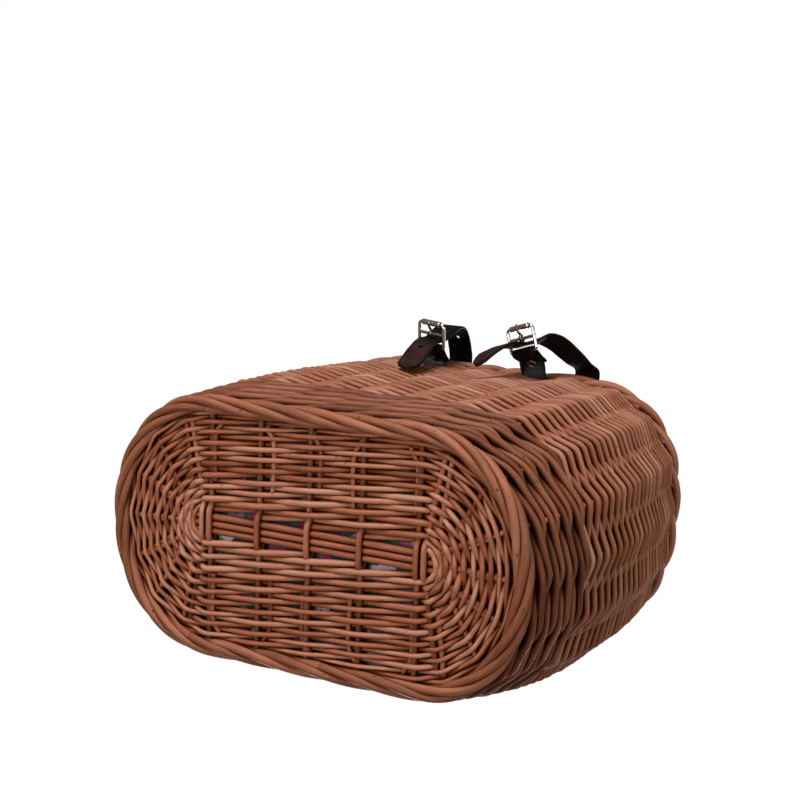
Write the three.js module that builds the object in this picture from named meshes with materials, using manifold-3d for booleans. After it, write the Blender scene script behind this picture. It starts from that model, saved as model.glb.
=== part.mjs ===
// An oval willow handlebar basket with a cotton liner and two buckled leather straps.
// Millimetres. Z runs up through the mouth, X along the oval, and the straps are on the +Y side.
import * as THREE from 'three';
import { mergeVertices } from 'three/addons/utils/BufferGeometryUtils.js';
import Module from 'manifold-3d';

// Outline of the wall, measured on its outer ridges.
const BASE_HALF_LENGTH = 152;
const BASE_HALF_WIDTH = 86;
const BASE_STRAIGHT = 74;
const BASE_POWER = 2.07;
const RIM_HALF_LENGTH = 148;
const RIM_FRONT_HALF_WIDTH = 104;
const RIM_BACK_HALF_WIDTH = 83.5;
const RIM_STRAIGHT = 67.5;
const RIM_POWER = 2.32;
const BELLY = 12;
const BACK_BELLY = 3;
const OUTLINE_FOOT = 6;
const OUTLINE_ABOVE_BORDER = 6;
// The straps reach out behind, so the middle of the whole object lies behind the oval's centre.
const FRAME_SHIFT = 6.79;

// Rods and woven bands.
const GAP = 0.3;
const STAKE_COUNT = 24;
const STAKE_RADIUS = 2.1;
const STAKE_INSET = 5.6;
const STAKE_LEAN = 10.5;
const LEAN_RUN = 86;
const STICK_RADIUS = 2.3;
const STICK_HEIGHT = 6.9;
const STICK_END_INSET = 27;
const WEAVE_CROWN = 0.2;
const WEAVE_VALLEY = 3.2;
const WEAVE_INNER = 7.8;
const UPSETT_RADIUS = 6.5;
const UPSETT_HEIGHT = 4.9;
const WALE_FOOT = 14;
const WALE_TOP = 73.6;
const WALE_ROUNDS = 7;
const WALE_RELIEF = 1.7;
const WALE_SLANT = 1.4;
const WALE_VALLEY = 0.8;
const RANDING_ROWS = 26;
const RANDING_RELIEF = 1.6;
const BORDER_RADIUS = 8.4;
const BORDER_HEIGHT = 256;
const BORDER_SEAT = 0.4;
const STRAP_NOTCH_DROP = 23;
const STRAP_NOTCH_HEIGHT = 26;
const END_BUTT = 26;
const CORNER_BUTTS = [8, 13, 18];
const SIDE_BUTT = 30;

// Base: a slath of three long sticks through seven slit cross sticks, woven round.
const SLATH_OFFSET = 4;
const LONG_STICK_PITCH = 5.6;
const CROSS_STICK_PAIR = 5;
const FAN_START = 86;
const SLATH_WINDOW_HALF_WIDTH = 15;
const SLATH_WINDOW_HALF_LENGTH = 87;
const BASE_WEAVE_LOW = 1;
const BASE_WEAVE_HIGH = 4.3;
const BASE_ROW_RELIEF = 0.9;
const BASE_ROWS = 5;

// Liner of printed cotton.
const LINER_THICKNESS = 1.2;
const LINER_FLOOR = 11.7;
const LINER_DROP = 18;

// Straps and their buckles.
const STRAP_WIDTH = 19;
const STRAP_THICKNESS = 2;
const STRAP_SWEEP = 0.7;
const WRAP_START = -2.25;
const WRAP_TURN = 2.1;
const BAR_RADIUS = 1.2;
const BUCKLE_HALF_WIDTH = 12;
const BUCKLE_FRONT = 7.8;
const BUCKLE_HEEL = -10;
const BUCKLE_CORNER = 2.6;
const STRAP_WINDOW = -4.7;
const ROLLER_OUTER = 2.1;
const ROLLER_BORE = 1.5;
const ROLLER_HALF_LENGTH = 8.6;
const PRONG_THICKNESS = 1.6;
const PRONG_WIDTH = 2.4;
const PRONG_EYE = 2.5;
const RIVET_HEAD_RADIUS = 3.6;
const RIVET_HEAD_RISE = 1.3;
const RIVET_SHANK = 1.5;
const RIVET_PLACE = 10;
const CHAPE_LAP = 14;
const HOLE_RADIUS = 1.6;

const WILLOW = new THREE.MeshStandardMaterial({ color: 0x8f5a3f, roughness: 0.6, metalness: 0 });
const WILLOW_DARK = new THREE.MeshStandardMaterial({ color: 0x6e4029, roughness: 0.65, metalness: 0 });
const COTTON = new THREE.MeshStandardMaterial({ color: 0x2f8f90, roughness: 0.9, metalness: 0 });
const LEATHER = new THREE.MeshStandardMaterial({ color: 0x2d1811, roughness: 0.5, metalness: 0 });
const NICKEL = new THREE.MeshStandardMaterial({ color: 0xc9c9c6, roughness: 0.25, metalness: 1 });

// Heights that follow from the sizes above.
const OUTLINE_TOP = BORDER_HEIGHT + OUTLINE_ABOVE_BORDER;
const RANDING_TOP = BORDER_HEIGHT - BORDER_RADIUS - BORDER_SEAT;
const LINER_TOP = BORDER_HEIGHT - LINER_DROP;
const LEAN_START = BORDER_HEIGHT - LEAN_RUN;
const LOW_LEVEL = THREE.MathUtils.lerp(WALE_TOP, LEAN_START, 0.43);
const HIGH_LEVEL = THREE.MathUtils.lerp(LEAN_START, BORDER_HEIGHT, 0.41);

const wasm = await Module();
wasm.setup();

const basket = new THREE.Group();
basket.name = 'wicker_basket';

function add(name, geometry, material) {
  const mesh = new THREE.Mesh(geometry, material);
  mesh.name = name;
  basket.add(mesh);
  return mesh;
}

// Outline of the oval at one height: two rounded ends joined by straight sides.
class Oval {
  constructor(height) {
    const t = (height - OUTLINE_FOOT) / (OUTLINE_TOP - OUTLINE_FOOT);
    const swell = 4 * t * (1 - t);
    const mix = THREE.MathUtils.lerp;
    const length = mix(BASE_HALF_LENGTH, RIM_HALF_LENGTH, t) + BELLY * swell;
    const front = mix(BASE_HALF_WIDTH, RIM_FRONT_HALF_WIDTH, t) + BELLY * swell;
    const back = mix(BASE_HALF_WIDTH, RIM_BACK_HALF_WIDTH, t) + BACK_BELLY * swell;
    const straight = mix(BASE_STRAIGHT, RIM_STRAIGHT, t);
    const power = 2 / mix(BASE_POWER, RIM_POWER, t);
    this.height = height;
    this.back = Oval.half(length, straight, back, power);
    this.front = Oval.half(length, straight, -front, power);
  }

  static half(length, straight, width, power) {
    const quarter = [];
    for (let i = 0; i <= 40; i += 1) {
      const turn = (i / 40) * Math.PI / 2;
      const x = straight + (length - straight) * Math.cos(turn) ** power;
      const y = width * Math.sin(turn) ** power;
      quarter.push(new THREE.Vector2(i === 40 ? straight : x, y));
    }
    const mirrored = quarter.map((p) => new THREE.Vector2(-p.x, p.y)).reverse();
    const points = quarter.concat(mirrored);
    const runs = [0];
    for (let i = 1; i < points.length; i += 1) {
      runs.push(runs[i - 1] + points[i].distanceTo(points[i - 1]));
    }
    return { points, runs };
  }

  // Share 0 is the +X end, 1/4 the middle of the back and 1/2 the -X end.
  at(share) {
    const wrapped = share - Math.floor(share);
    const side = wrapped < 0.5 ? this.back : this.front;
    const part = wrapped < 0.5 ? wrapped * 2 : 2 - wrapped * 2;
    const goal = part * side.runs[side.runs.length - 1];
    let i = 1;
    while (i < side.runs.length - 1 && side.runs[i] < goal) {
      i += 1;
    }
    const span = side.runs[i] - side.runs[i - 1];
    const place = span > 0 ? (goal - side.runs[i - 1]) / span : 0;
    const flat = side.points[i - 1].clone().lerp(side.points[i], place);
    return new THREE.Vector3(flat.x, flat.y, this.height);
  }
}

// A point at a share of the way round, drawn in square to the outline.
const ovals = new Map();

function pull(height, inset, share) {
  if (!ovals.has(height)) {
    ovals.set(height, new Oval(height));
  }
  const oval = ovals.get(height);
  const along = oval.at(share + 0.004).sub(oval.at(share - 0.004)).normalize();
  const inward = new THREE.Vector3(-along.y, along.x, 0);
  return oval.at(share).addScaledVector(inward, inset);
}

// Grids of points joined into closed solids.
function solidFrom(positions, indices) {
  const geometry = new THREE.BufferGeometry();
  geometry.setAttribute('position', new THREE.Float32BufferAttribute(positions, 3));
  geometry.setIndex(indices);
  geometry.computeVertexNormals();
  return geometry;
}

// Sections in order along a path; ends are capped unless the path closes on itself.
function sweep(sections, closed) {
  const count = sections[0].length;
  const positions = [];
  const indices = [];
  sections.flat().forEach((p) => positions.push(p.x, p.y, p.z));
  const steps = closed ? sections.length : sections.length - 1;
  for (let i = 0; i < steps; i += 1) {
    const near = i * count;
    const far = ((i + 1) % sections.length) * count;
    for (let j = 0; j < count; j += 1) {
      const k = (j + 1) % count;
      indices.push(near + j, near + k, far + j);
      indices.push(near + k, far + k, far + j);
    }
  }
  if (!closed) {
    const last = (sections.length - 1) * count;
    for (let j = 1; j < count - 1; j += 1) {
      indices.push(0, j + 1, j);
      indices.push(last, last + j, last + j + 1);
    }
  }
  return solidFrom(positions, indices);
}

// A round rod through a row of points, with its sections kept square to the path.
function rod(points, radius, sides) {
  const sections = [];
  const side = new THREE.Vector3();
  points.forEach((p, i) => {
    const before = points[Math.max(i - 1, 0)];
    const after = points[Math.min(i + 1, points.length - 1)];
    const along = after.clone().sub(before).normalize();
    if (i === 0) {
      side.set(Math.abs(along.z) < 0.9 ? 0 : 1, 0, Math.abs(along.z) < 0.9 ? 1 : 0);
    }
    side.addScaledVector(along, -side.dot(along)).normalize();
    const up = along.clone().cross(side);
    const ring = [];
    for (let j = 0; j < sides; j += 1) {
      const turn = ((j + 0.5) / sides) * Math.PI * 2;
      const spot = p.clone().addScaledVector(side, radius * Math.cos(turn));
      ring.push(spot.addScaledVector(up, radius * Math.sin(turn)));
    }
    sections.push(ring);
  });
  return sweep(sections, false);
}

// Booleans for pieces that are pierced or joined.
function toManifold(geometry) {
  const plain = geometry.clone();
  plain.deleteAttribute('normal');
  plain.deleteAttribute('uv');
  const welded = mergeVertices(plain, 1e-5);
  const vertProperties = new Float32Array(welded.attributes.position.array);
  const triVerts = new Uint32Array(welded.index.array);
  return new wasm.Manifold(new wasm.Mesh({ numProp: 3, vertProperties, triVerts }));
}

function fromManifold(body) {
  const mesh = body.getMesh();
  return solidFrom(Array.from(mesh.vertProperties), Array.from(mesh.triVerts));
}

function pierce(geometry, cutters) {
  let body = toManifold(geometry);
  cutters.forEach((cutter) => {
    body = body.subtract(toManifold(cutter));
  });
  return fromManifold(body);
}

// Where each stake stands in the wall. The pair beside each strap leans aside to let it through.
function stakeShare(index, height) {
  const rise = Math.max(0, height - LEAN_START) / (BORDER_HEIGHT - LEAN_START);
  const lean = { 5: 1, 7: -1 }[index] || 0;
  const girth = 2 * new Oval(height).back.runs.at(-1);
  return index / STAKE_COUNT + (lean * STAKE_LEAN * rise * rise) / girth;
}

// Woven bands: a shell with a column of points on every stake and one midway to the next.
function wovenRing(height, insetAt, liftAt = () => 0) {
  return Array.from({ length: 2 * STAKE_COUNT }, (_, i) => {
    const stand = Math.floor(i / 2);
    const onStake = i % 2 === 0;
    const here = stakeShare(stand, height);
    const next = stakeShare(stand + 1, height);
    const share = onStake ? here : (here + next) / 2;
    return pull(height + liftAt(stand, onStake), insetAt(stand, onStake), share);
  });
}

// Inside, each stake stands in a groove.
function groovedRings(heights) {
  const groove = STAKE_INSET - STAKE_RADIUS - 2 * GAP;
  return heights.map((height) => wovenRing(height, (_, onStake) => (onStake ? groove : WEAVE_INNER)));
}

// Outer and inner rings, low to high, joined at the foot and the top edge.
function shell(outer, inner) {
  const loop = outer.concat(inner.slice().reverse());
  const around = loop[0].map((_, i) => loop.map((ring) => ring[i]));
  return sweep(around.map((section) => section.slice().reverse()), true);
}

// A closed roll of three rods laid round the oval like a rope.
function roll({ height, inset, radius, turns, steps, floor }) {
  const sections = [];
  for (let i = 0; i < steps; i += 1) {
    const share = i / steps;
    const centre = pull(height, inset, share);
    const ahead = pull(height, inset, share + 0.5 / steps);
    const behind = pull(height, inset, share - 0.5 / steps);
    const along = ahead.sub(behind).normalize();
    const out = new THREE.Vector3(along.y, -along.x, 0);
    const ring = [];
    for (let j = 0; j < 12; j += 1) {
      const angle = ((j + 0.5) / 12) * Math.PI * 2;
      const lay = 3 * angle + share * turns * Math.PI * 2;
      const reach = radius * (0.9 + 0.1 * Math.cos(lay));
      const spot = centre.clone().addScaledVector(out, reach * Math.cos(angle));
      spot.z = Math.max(floor, spot.z + reach * Math.sin(angle));
      ring.push(spot);
    }
    sections.push(ring.reverse());
  }
  return sweep(sections, true);
}

// Base sticks.
const longSticks = [-1, 0, 1];
longSticks.forEach((row, index) => {
  const y = SLATH_OFFSET + row * LONG_STICK_PITCH;
  const points = [];
  [-1, 1].forEach((end) => {
    const share = (end > 0 ? 0 : 0.5) + (end * row) / STAKE_COUNT;
    const tip = pull(STICK_HEIGHT, STICK_END_INSET, share);
    const start = new THREE.Vector3(end * FAN_START, y, STICK_HEIGHT);
    tip.y = row === 0 ? y : tip.y;
    const half = [start, start.clone().lerp(tip, 0.5), tip];
    points.push(...(end < 0 ? half.reverse() : half));
  });
  add(`base_long_stick_${index + 1}`, rod(points, STICK_RADIUS, 6), WILLOW_DARK);
});

function crossStick(x) {
  const reach = (sign) => sign * (BASE_HALF_WIDTH - STICK_END_INSET) - SLATH_OFFSET;
  const low = -STICK_RADIUS;
  const high = STICK_RADIUS;
  const slit = LONG_STICK_PITCH + STICK_RADIUS + GAP;
  const cheek = STICK_RADIUS + GAP;
  const bulge = cheek + 1.8;
  const outline = new THREE.Shape();
  outline.moveTo(reach(-1), low);
  outline.lineTo(-slit - 5, low);
  outline.lineTo(-slit, -bulge);
  outline.lineTo(slit, -bulge);
  outline.lineTo(slit + 5, low);
  outline.lineTo(reach(1), low);
  outline.lineTo(reach(1), high);
  outline.lineTo(slit + 5, high);
  outline.lineTo(slit, bulge);
  outline.lineTo(-slit, bulge);
  outline.lineTo(-slit - 5, high);
  outline.lineTo(reach(-1), high);
  const hole = new THREE.Path();
  hole.moveTo(-slit - 3.2, 0);
  hole.lineTo(-slit, cheek);
  hole.lineTo(slit, cheek);
  hole.lineTo(slit + 3.2, 0);
  hole.lineTo(slit, -cheek);
  hole.lineTo(-slit, -cheek);
  outline.holes.push(hole);
  const edge = 0.7;
  const stick = new THREE.ExtrudeGeometry(outline, {
    depth: 2 * (STICK_RADIUS - edge),
    bevelEnabled: true,
    bevelThickness: edge,
    bevelSize: edge,
    bevelOffset: -edge,
    bevelSegments: 1,
  });
  stick.translate(0, 0, -(STICK_RADIUS - edge));
  const basis = new THREE.Matrix4().makeBasis(
    new THREE.Vector3(0, 1, 0),
    new THREE.Vector3(0, 0, 1),
    new THREE.Vector3(1, 0, 0),
  );
  stick.applyMatrix4(basis);
  stick.translate(x, SLATH_OFFSET, STICK_HEIGHT);
  return mergeVertices(stick.deleteAttribute('normal').deleteAttribute('uv'), 1e-4);
}

// Each cross stick lies beside the stakes that it serves; the end ones go in pairs.
const TURN_INSET = 2 * UPSETT_RADIUS + STAKE_RADIUS + 2 * GAP;
const [outerStick, innerStick] = [4, 5].map((k) => pull(STICK_HEIGHT, TURN_INSET, k / STAKE_COUNT).x);
const rightHalf = [innerStick, outerStick - CROSS_STICK_PAIR, outerStick + CROSS_STICK_PAIR];
const stickPlaces = rightHalf.map((x) => -x).reverse().concat(0, rightHalf);

stickPlaces.forEach((x, index) => {
  add(`base_cross_stick_${index + 1}`, crossStick(x), WILLOW_DARK);
});

// Stakes: a butt along the base, a bend round the upsett, then up the wall to the border.
const BESIDE = 2 * STICK_RADIUS + GAP;
const BUTT_LENGTHS = [
  END_BUTT,
  ...CORNER_BUTTS,
  ...Array(5).fill(SIDE_BUTT),
  ...CORNER_BUTTS.slice().reverse(),
];
const BUTT_ASIDE = [BESIDE - SLATH_OFFSET, 0, 0, 0, 0, -BESIDE, -BESIDE, BESIDE, 0, 0, 0, 0];

function stake(index) {
  const share = index / STAKE_COUNT;
  const heel = pull(STICK_HEIGHT, TURN_INSET, share);
  const place = index % 12;
  const end = index < 6 || index > 18 ? 1 : -1;
  const inward = new THREE.Vector3(0, -Math.sign(heel.y), 0);
  if (place < 4 || place > 8) {
    inward.set(end * FAN_START - heel.x, SLATH_OFFSET - heel.y, 0).normalize();
  }
  if (place === 0) {
    inward.set(-end, 0, 0);
  }
  const across = new THREE.Vector3(-inward.y, inward.x, 0);
  const aside = BUTT_ASIDE[place] * (place === 0 ? end : 1);
  const butt = heel.clone().addScaledVector(inward, BUTT_LENGTHS[place]);
  const kneeRun = Math.min(STICK_END_INSET - TURN_INSET - 2, BUTT_LENGTHS[place] * 0.6);
  const knee = heel.clone().addScaledVector(inward, kneeRun);
  butt.addScaledVector(across, aside);
  knee.addScaledVector(across, aside);
  const points = [butt, knee, heel.clone().addScaledVector(inward, 2)];
  [[0.1, 3], [-1.6, 6.4], [-5.4, 9.6]].forEach(([inset, rise]) => {
    points.push(pull(STICK_HEIGHT + rise, TURN_INSET + inset, share));
  });
  const waleMiddle = (WALE_FOOT + WALE_TOP) / 2;
  [WALE_FOOT + 8, waleMiddle, WALE_TOP, LOW_LEVEL, LEAN_START, HIGH_LEVEL].forEach((height) => {
    points.push(pull(height, STAKE_INSET, stakeShare(index, height)));
  });
  const top = BORDER_HEIGHT - BORDER_RADIUS - GAP;
  points.push(pull(top, STAKE_INSET, stakeShare(index, top)));
  return rod(points, STAKE_RADIUS, 5);
}

for (let index = 0; index < STAKE_COUNT; index += 1) {
  const number = String(index + 1).padStart(2, '0');
  add(`stake_${number}`, stake(index), WILLOW_DARK);
}

// Base weave: an oval plate with rows on its underside and a window over the slath.
function baseWeave() {
  const edgeInset = 2 * UPSETT_RADIUS + GAP;
  const outer = [];
  const inner = [];
  const count = 48;
  const window = [];
  for (let i = 0; i < count; i += 1) {
    const turn = (i / count) * Math.PI * 2;
    const x = SLATH_WINDOW_HALF_LENGTH * Math.sign(Math.cos(turn)) * Math.abs(Math.cos(turn)) ** 0.25;
    const y = SLATH_WINDOW_HALF_WIDTH * Math.sign(Math.sin(turn)) * Math.abs(Math.sin(turn)) ** 0.25;
    window.push(new THREE.Vector3(x, SLATH_OFFSET + y, 0));
  }
  for (let row = 0; row <= 2 * BASE_ROWS; row += 1) {
    const share = row / (2 * BASE_ROWS);
    const low = BASE_WEAVE_LOW + (row % 2 ? 0 : BASE_ROW_RELIEF);
    const ring = [];
    for (let i = 0; i < count; i += 1) {
      const edge = pull(STICK_HEIGHT, edgeInset, i / count);
      const spot = window[i].clone().lerp(edge, share);
      spot.z = low;
      ring.push(spot);
    }
    inner.push(ring);
  }
  const top = [0, 1].map((share) => inner[share ? inner.length - 1 : 0].map((p) => {
    return new THREE.Vector3(p.x, p.y, BASE_WEAVE_HIGH);
  }));
  outer.push(...top);
  const loop = inner.concat(outer.reverse());
  const around = loop[0].map((_, i) => loop.map((ring) => ring[i]));
  return sweep(around.map((section) => section.slice().reverse()), true);
}

add('base_weave', baseWeave(), WILLOW);

// The thick upsett round the foot stands on a flat ring at Z = 0.
add('upsett_wale', roll({
  height: UPSETT_HEIGHT,
  inset: UPSETT_RADIUS,
  radius: UPSETT_RADIUS,
  turns: 12,
  steps: 60,
  floor: 0,
}), WILLOW);

// Waling: rods in front of two stakes and behind one, so every ridge climbs and drops back.
function lowerWale() {
  const climb = [-1, 0, 1];
  const outer = [];
  for (let row = 0; row <= 2 * WALE_ROUNDS; row += 1) {
    const height = THREE.MathUtils.lerp(WALE_FOOT, WALE_TOP, row / (2 * WALE_ROUNDS));
    const relief = row % 2 ? 0 : WALE_RELIEF;
    const slant = row === 0 || row === 2 * WALE_ROUNDS ? 0 : WALE_SLANT;
    outer.push(wovenRing(
      height,
      (_, onStake) => WEAVE_CROWN + relief + (onStake ? 0 : WALE_VALLEY),
      (stand, onStake) => slant * (climb[stand % 3] + (onStake ? 0 : [0.5, 0.5, -1][stand % 3])),
    ));
  }
  return shell(outer, groovedRings([WALE_FOOT, (WALE_FOOT + WALE_TOP) / 2, WALE_TOP]));
}

add('lower_wale', lowerWale(), WILLOW);

// Randing: each row goes in front of every second stake, and the next row in front of the others.
function randing() {
  const outer = [];
  for (let row = 0; row <= RANDING_ROWS; row += 1) {
    const height = THREE.MathUtils.lerp(WALE_TOP + GAP, RANDING_TOP, row / RANDING_ROWS);
    outer.push(wovenRing(height, (stand, onStake) => {
      const behind = (stand + row) % 2 ? RANDING_RELIEF : 0;
      return onStake ? WEAVE_CROWN + behind : WEAVE_VALLEY;
    }));
  }
  return shell(outer, groovedRings([WALE_TOP + GAP, LOW_LEVEL, LEAN_START, HIGH_LEVEL, RANDING_TOP]));
}

add('rim_border', roll({
  height: BORDER_HEIGHT,
  inset: BORDER_RADIUS,
  radius: BORDER_RADIUS,
  turns: 12,
  steps: 60,
  floor: 0,
}), WILLOW);

// Liner: a bag that lies on the base sticks and against the wall.
function liner() {
  const profile = [
    [WEAVE_INNER + 2 * GAP, LINER_TOP],
    [WEAVE_INNER + GAP, LEAN_START],
    [WEAVE_INNER + GAP, LOW_LEVEL],
    [WEAVE_INNER + GAP, WALE_TOP],
    [WEAVE_INNER + 0.8, 34],
    [10.4, 24],
    [17, 15.5],
    [24, LINER_FLOOR],
  ];
  const wall = LINER_THICKNESS;
  const count = 48;
  const ringAt = ([inset, height]) => {
    return Array.from({ length: count }, (_, i) => pull(height, inset, i / count));
  };
  const outside = profile.map(ringAt);
  const inside = profile.map(([inset, height], i) => {
    const lift = [0, 0, 0, 0, 0.2, 0.6, 1, 1][i] * wall;
    const draw = [1, 1, 1, 1, 1, 0.9, 0.6, 0.2][i] * wall;
    return ringAt([inset + draw, height + lift]);
  });
  const rings = outside.slice().reverse().concat(inside);
  const positions = [];
  const indices = [];
  rings.flat().forEach((p) => positions.push(p.x, p.y, p.z));
  for (let r = 0; r < rings.length - 1; r += 1) {
    for (let i = 0; i < count; i += 1) {
      const k = (i + 1) % count;
      const a = r * count;
      const b = a + count;
      indices.push(a + i, a + k, b + i);
      indices.push(a + k, b + k, b + i);
    }
  }
  const flat = (ring) => ring.map((p) => new THREE.Vector2(p.x, p.y));
  const floorFaces = THREE.ShapeUtils.triangulateShape(flat(rings[0]), []);
  floorFaces.forEach(([a, b, c]) => indices.push(a, c, b));
  const last = (rings.length - 1) * count;
  THREE.ShapeUtils.triangulateShape(flat(rings.at(-1)), []).forEach(([a, b, c]) => {
    indices.push(last + a, last + b, last + c);
  });
  return solidFrom(positions, indices);
}

add('liner', liner(), COTTON);

// A buckle's own axes: width along the bars, up from heel to front bar, face toward the viewer.
class BuckleSeat {
  constructor(centre, width, up) {
    this.centre = new THREE.Vector3(...centre);
    this.width = new THREE.Vector3(...width).normalize();
    this.up = new THREE.Vector3(...up);
    this.up.addScaledVector(this.width, -this.up.dot(this.width)).normalize();
    this.face = this.width.clone().cross(this.up);
  }

  spot(w, l, n) {
    return this.centre.clone()
      .addScaledVector(this.width, w)
      .addScaledVector(this.up, l)
      .addScaledVector(this.face, n);
  }

  place(geometry) {
    const basis = new THREE.Matrix4().makeBasis(this.width, this.up, this.face);
    return geometry.applyMatrix4(basis.setPosition(this.centre));
  }
}

function buckleFrame(seat) {
  const left = -BUCKLE_HALF_WIDTH;
  const right = BUCKLE_HALF_WIDTH;
  const points = [];
  const corner = (w, l, start) => {
    for (let i = 0; i <= 3; i += 1) {
      const turn = start + (i / 3) * Math.PI / 2;
      const reach = BUCKLE_CORNER;
      points.push(new THREE.Vector3(w + reach * Math.cos(turn), l + reach * Math.sin(turn), 0));
    }
  };
  corner(right - BUCKLE_CORNER, BUCKLE_FRONT - BUCKLE_CORNER, 0);
  corner(left + BUCKLE_CORNER, BUCKLE_FRONT - BUCKLE_CORNER, Math.PI / 2);
  corner(left + BUCKLE_CORNER, BUCKLE_HEEL + BUCKLE_CORNER, Math.PI);
  corner(right - BUCKLE_CORNER, BUCKLE_HEEL + BUCKLE_CORNER, 1.5 * Math.PI);
  const sections = points.map((p, i) => {
    const before = points[(i + points.length - 1) % points.length];
    const after = points[(i + 1) % points.length];
    const along = after.clone().sub(before).normalize();
    const out = new THREE.Vector3(along.y, -along.x, 0);
    return Array.from({ length: 8 }, (_, j) => {
      const turn = ((j + 0.5) / 8) * Math.PI * 2;
      const spot = p.clone().addScaledVector(out, BAR_RADIUS * Math.cos(turn));
      spot.z += BAR_RADIUS * Math.sin(turn);
      return spot;
    }).reverse();
  });
  const ring = sweep(sections, true);
  const bar = new THREE.CylinderGeometry(BAR_RADIUS, BAR_RADIUS, 2 * BUCKLE_HALF_WIDTH, 8);
  bar.rotateZ(Math.PI / 2);
  return seat.place(fromManifold(toManifold(ring).add(toManifold(bar))));
}

function roller(seat) {
  const profile = [
    new THREE.Vector2(ROLLER_BORE, -ROLLER_HALF_LENGTH),
    new THREE.Vector2(ROLLER_OUTER, -ROLLER_HALF_LENGTH),
    new THREE.Vector2(ROLLER_OUTER, ROLLER_HALF_LENGTH),
    new THREE.Vector2(ROLLER_BORE, ROLLER_HALF_LENGTH),
    new THREE.Vector2(ROLLER_BORE, -ROLLER_HALF_LENGTH),
  ];
  const tube = new THREE.LatheGeometry(profile, 14);
  tube.rotateZ(Math.PI / 2);
  tube.translate(0, BUCKLE_FRONT, 0);
  const plain = tube.deleteAttribute('normal').deleteAttribute('uv');
  return seat.place(mergeVertices(plain, 1e-4));
}

function prong(seat) {
  const rest = ROLLER_OUTER + GAP;
  const outline = new THREE.Shape();
  outline.moveTo(PRONG_EYE * Math.cos(0.25), PRONG_EYE * Math.sin(0.25));
  outline.lineTo(BUCKLE_FRONT - 1, rest);
  outline.lineTo(BUCKLE_FRONT + 2.6, rest - 0.1);
  outline.lineTo(BUCKLE_FRONT + 2.8, rest + 0.7);
  outline.lineTo(BUCKLE_FRONT - 1, rest + PRONG_THICKNESS);
  outline.lineTo(PRONG_EYE * Math.cos(1.1), PRONG_EYE * Math.sin(1.1));
  for (let i = 1; i < 12; i += 1) {
    const turn = 1.1 + (i / 12) * (2 * Math.PI + 0.25 - 1.1);
    outline.lineTo(PRONG_EYE * Math.cos(turn), PRONG_EYE * Math.sin(turn));
  }
  const eye = new THREE.Path();
  eye.absarc(0, 0, BAR_RADIUS + GAP, 0, Math.PI * 2, true);
  outline.holes.push(eye);
  const tongue = new THREE.ExtrudeGeometry(outline, {
    depth: PRONG_WIDTH,
    bevelEnabled: false,
    curveSegments: 10,
  });
  tongue.translate(0, 0, -PRONG_WIDTH / 2);
  const basis = new THREE.Matrix4().makeBasis(
    new THREE.Vector3(0, 1, 0),
    new THREE.Vector3(0, 0, 1),
    new THREE.Vector3(1, 0, 0),
  );
  tongue.applyMatrix4(basis);
  const plain = tongue.deleteAttribute('normal').deleteAttribute('uv');
  return seat.place(mergeVertices(plain, 1e-4));
}

// A strap: folded round the heel bar and riveted, under the border, out over the rim and back
// through the buckle's lower window. It lies on a circle about the border, so it can swing there.
const SWING_AXIS = pull(BORDER_HEIGHT, BORDER_RADIUS, 0.25);
const SWING_RADIUS = BORDER_RADIUS + STRAP_SWEEP + STRAP_THICKNESS / 2;

// Points of the straps are given from the middle of the border's back: along, out and up.
function fromBorder([along, out, up]) {
  return [along, SWING_AXIS.y + out, SWING_AXIS.z + up];
}

function chapeAxes(seat, foot) {
  const heel = seat.spot(0, BUCKLE_HEEL, 0);
  const down = new THREE.Vector3(...foot).sub(heel);
  down.addScaledVector(seat.width, -down.dot(seat.width)).normalize();
  const front = down.clone().cross(seat.width);
  const spot = (along, off) => {
    return heel.clone().addScaledVector(down, along).addScaledVector(front, off);
  };
  return { down, front, spot };
}

function strapStations({ seat, foot, arc, loop, tail }) {
  const chape = chapeAxes(seat, foot);
  const lap = GAP / 2 + STRAP_THICKNESS / 2;
  const wrap = BAR_RADIUS + GAP + STRAP_THICKNESS / 2;
  const stations = [];
  const flat = new THREE.Vector3(-1, 0, 0);
  const pass = (place, width) => stations.push({ place, width });
  pass(chape.spot(CHAPE_LAP, -lap), seat.width);
  pass(chape.spot(CHAPE_LAP * 0.6, -lap), seat.width);
  pass(chape.spot(wrap * 2.2, -lap * 1.2), seat.width);
  for (let i = 0; i <= 6; i += 1) {
    const turn = -1.25 - (i / 6) * (2 * Math.PI - 2.5);
    pass(chape.spot(wrap * Math.cos(turn), wrap * Math.sin(turn)), seat.width);
  }
  pass(chape.spot(wrap * 2.2, lap * 1.2), seat.width);
  pass(chape.spot(CHAPE_LAP * 0.6, lap), seat.width);
  pass(new THREE.Vector3(...foot), seat.width.clone().lerp(flat, 0.7));
  for (let i = 0; i <= 7; i += 1) {
    const turn = WRAP_START - (i / 7) * WRAP_TURN;
    const x = THREE.MathUtils.lerp(arc[0], arc[1], i / 7);
    const y = SWING_AXIS.y + SWING_RADIUS * Math.cos(turn);
    const z = SWING_AXIS.z + SWING_RADIUS * Math.sin(turn);
    pass(new THREE.Vector3(x, y, z), flat);
  }
  loop.forEach(({ place, width }) => {
    pass(new THREE.Vector3(...place), width ? new THREE.Vector3(...width) : flat);
  });
  pass(seat.spot(0, STRAP_WINDOW, -4), seat.width);
  pass(seat.spot(0, STRAP_WINDOW, 0), seat.width);
  pass(seat.spot(0, STRAP_WINDOW, 3.5), seat.width);
  tail.forEach(({ place, width }) => {
    pass(new THREE.Vector3(...place), width ? new THREE.Vector3(...width) : seat.width);
  });
  return stations;
}

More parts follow.
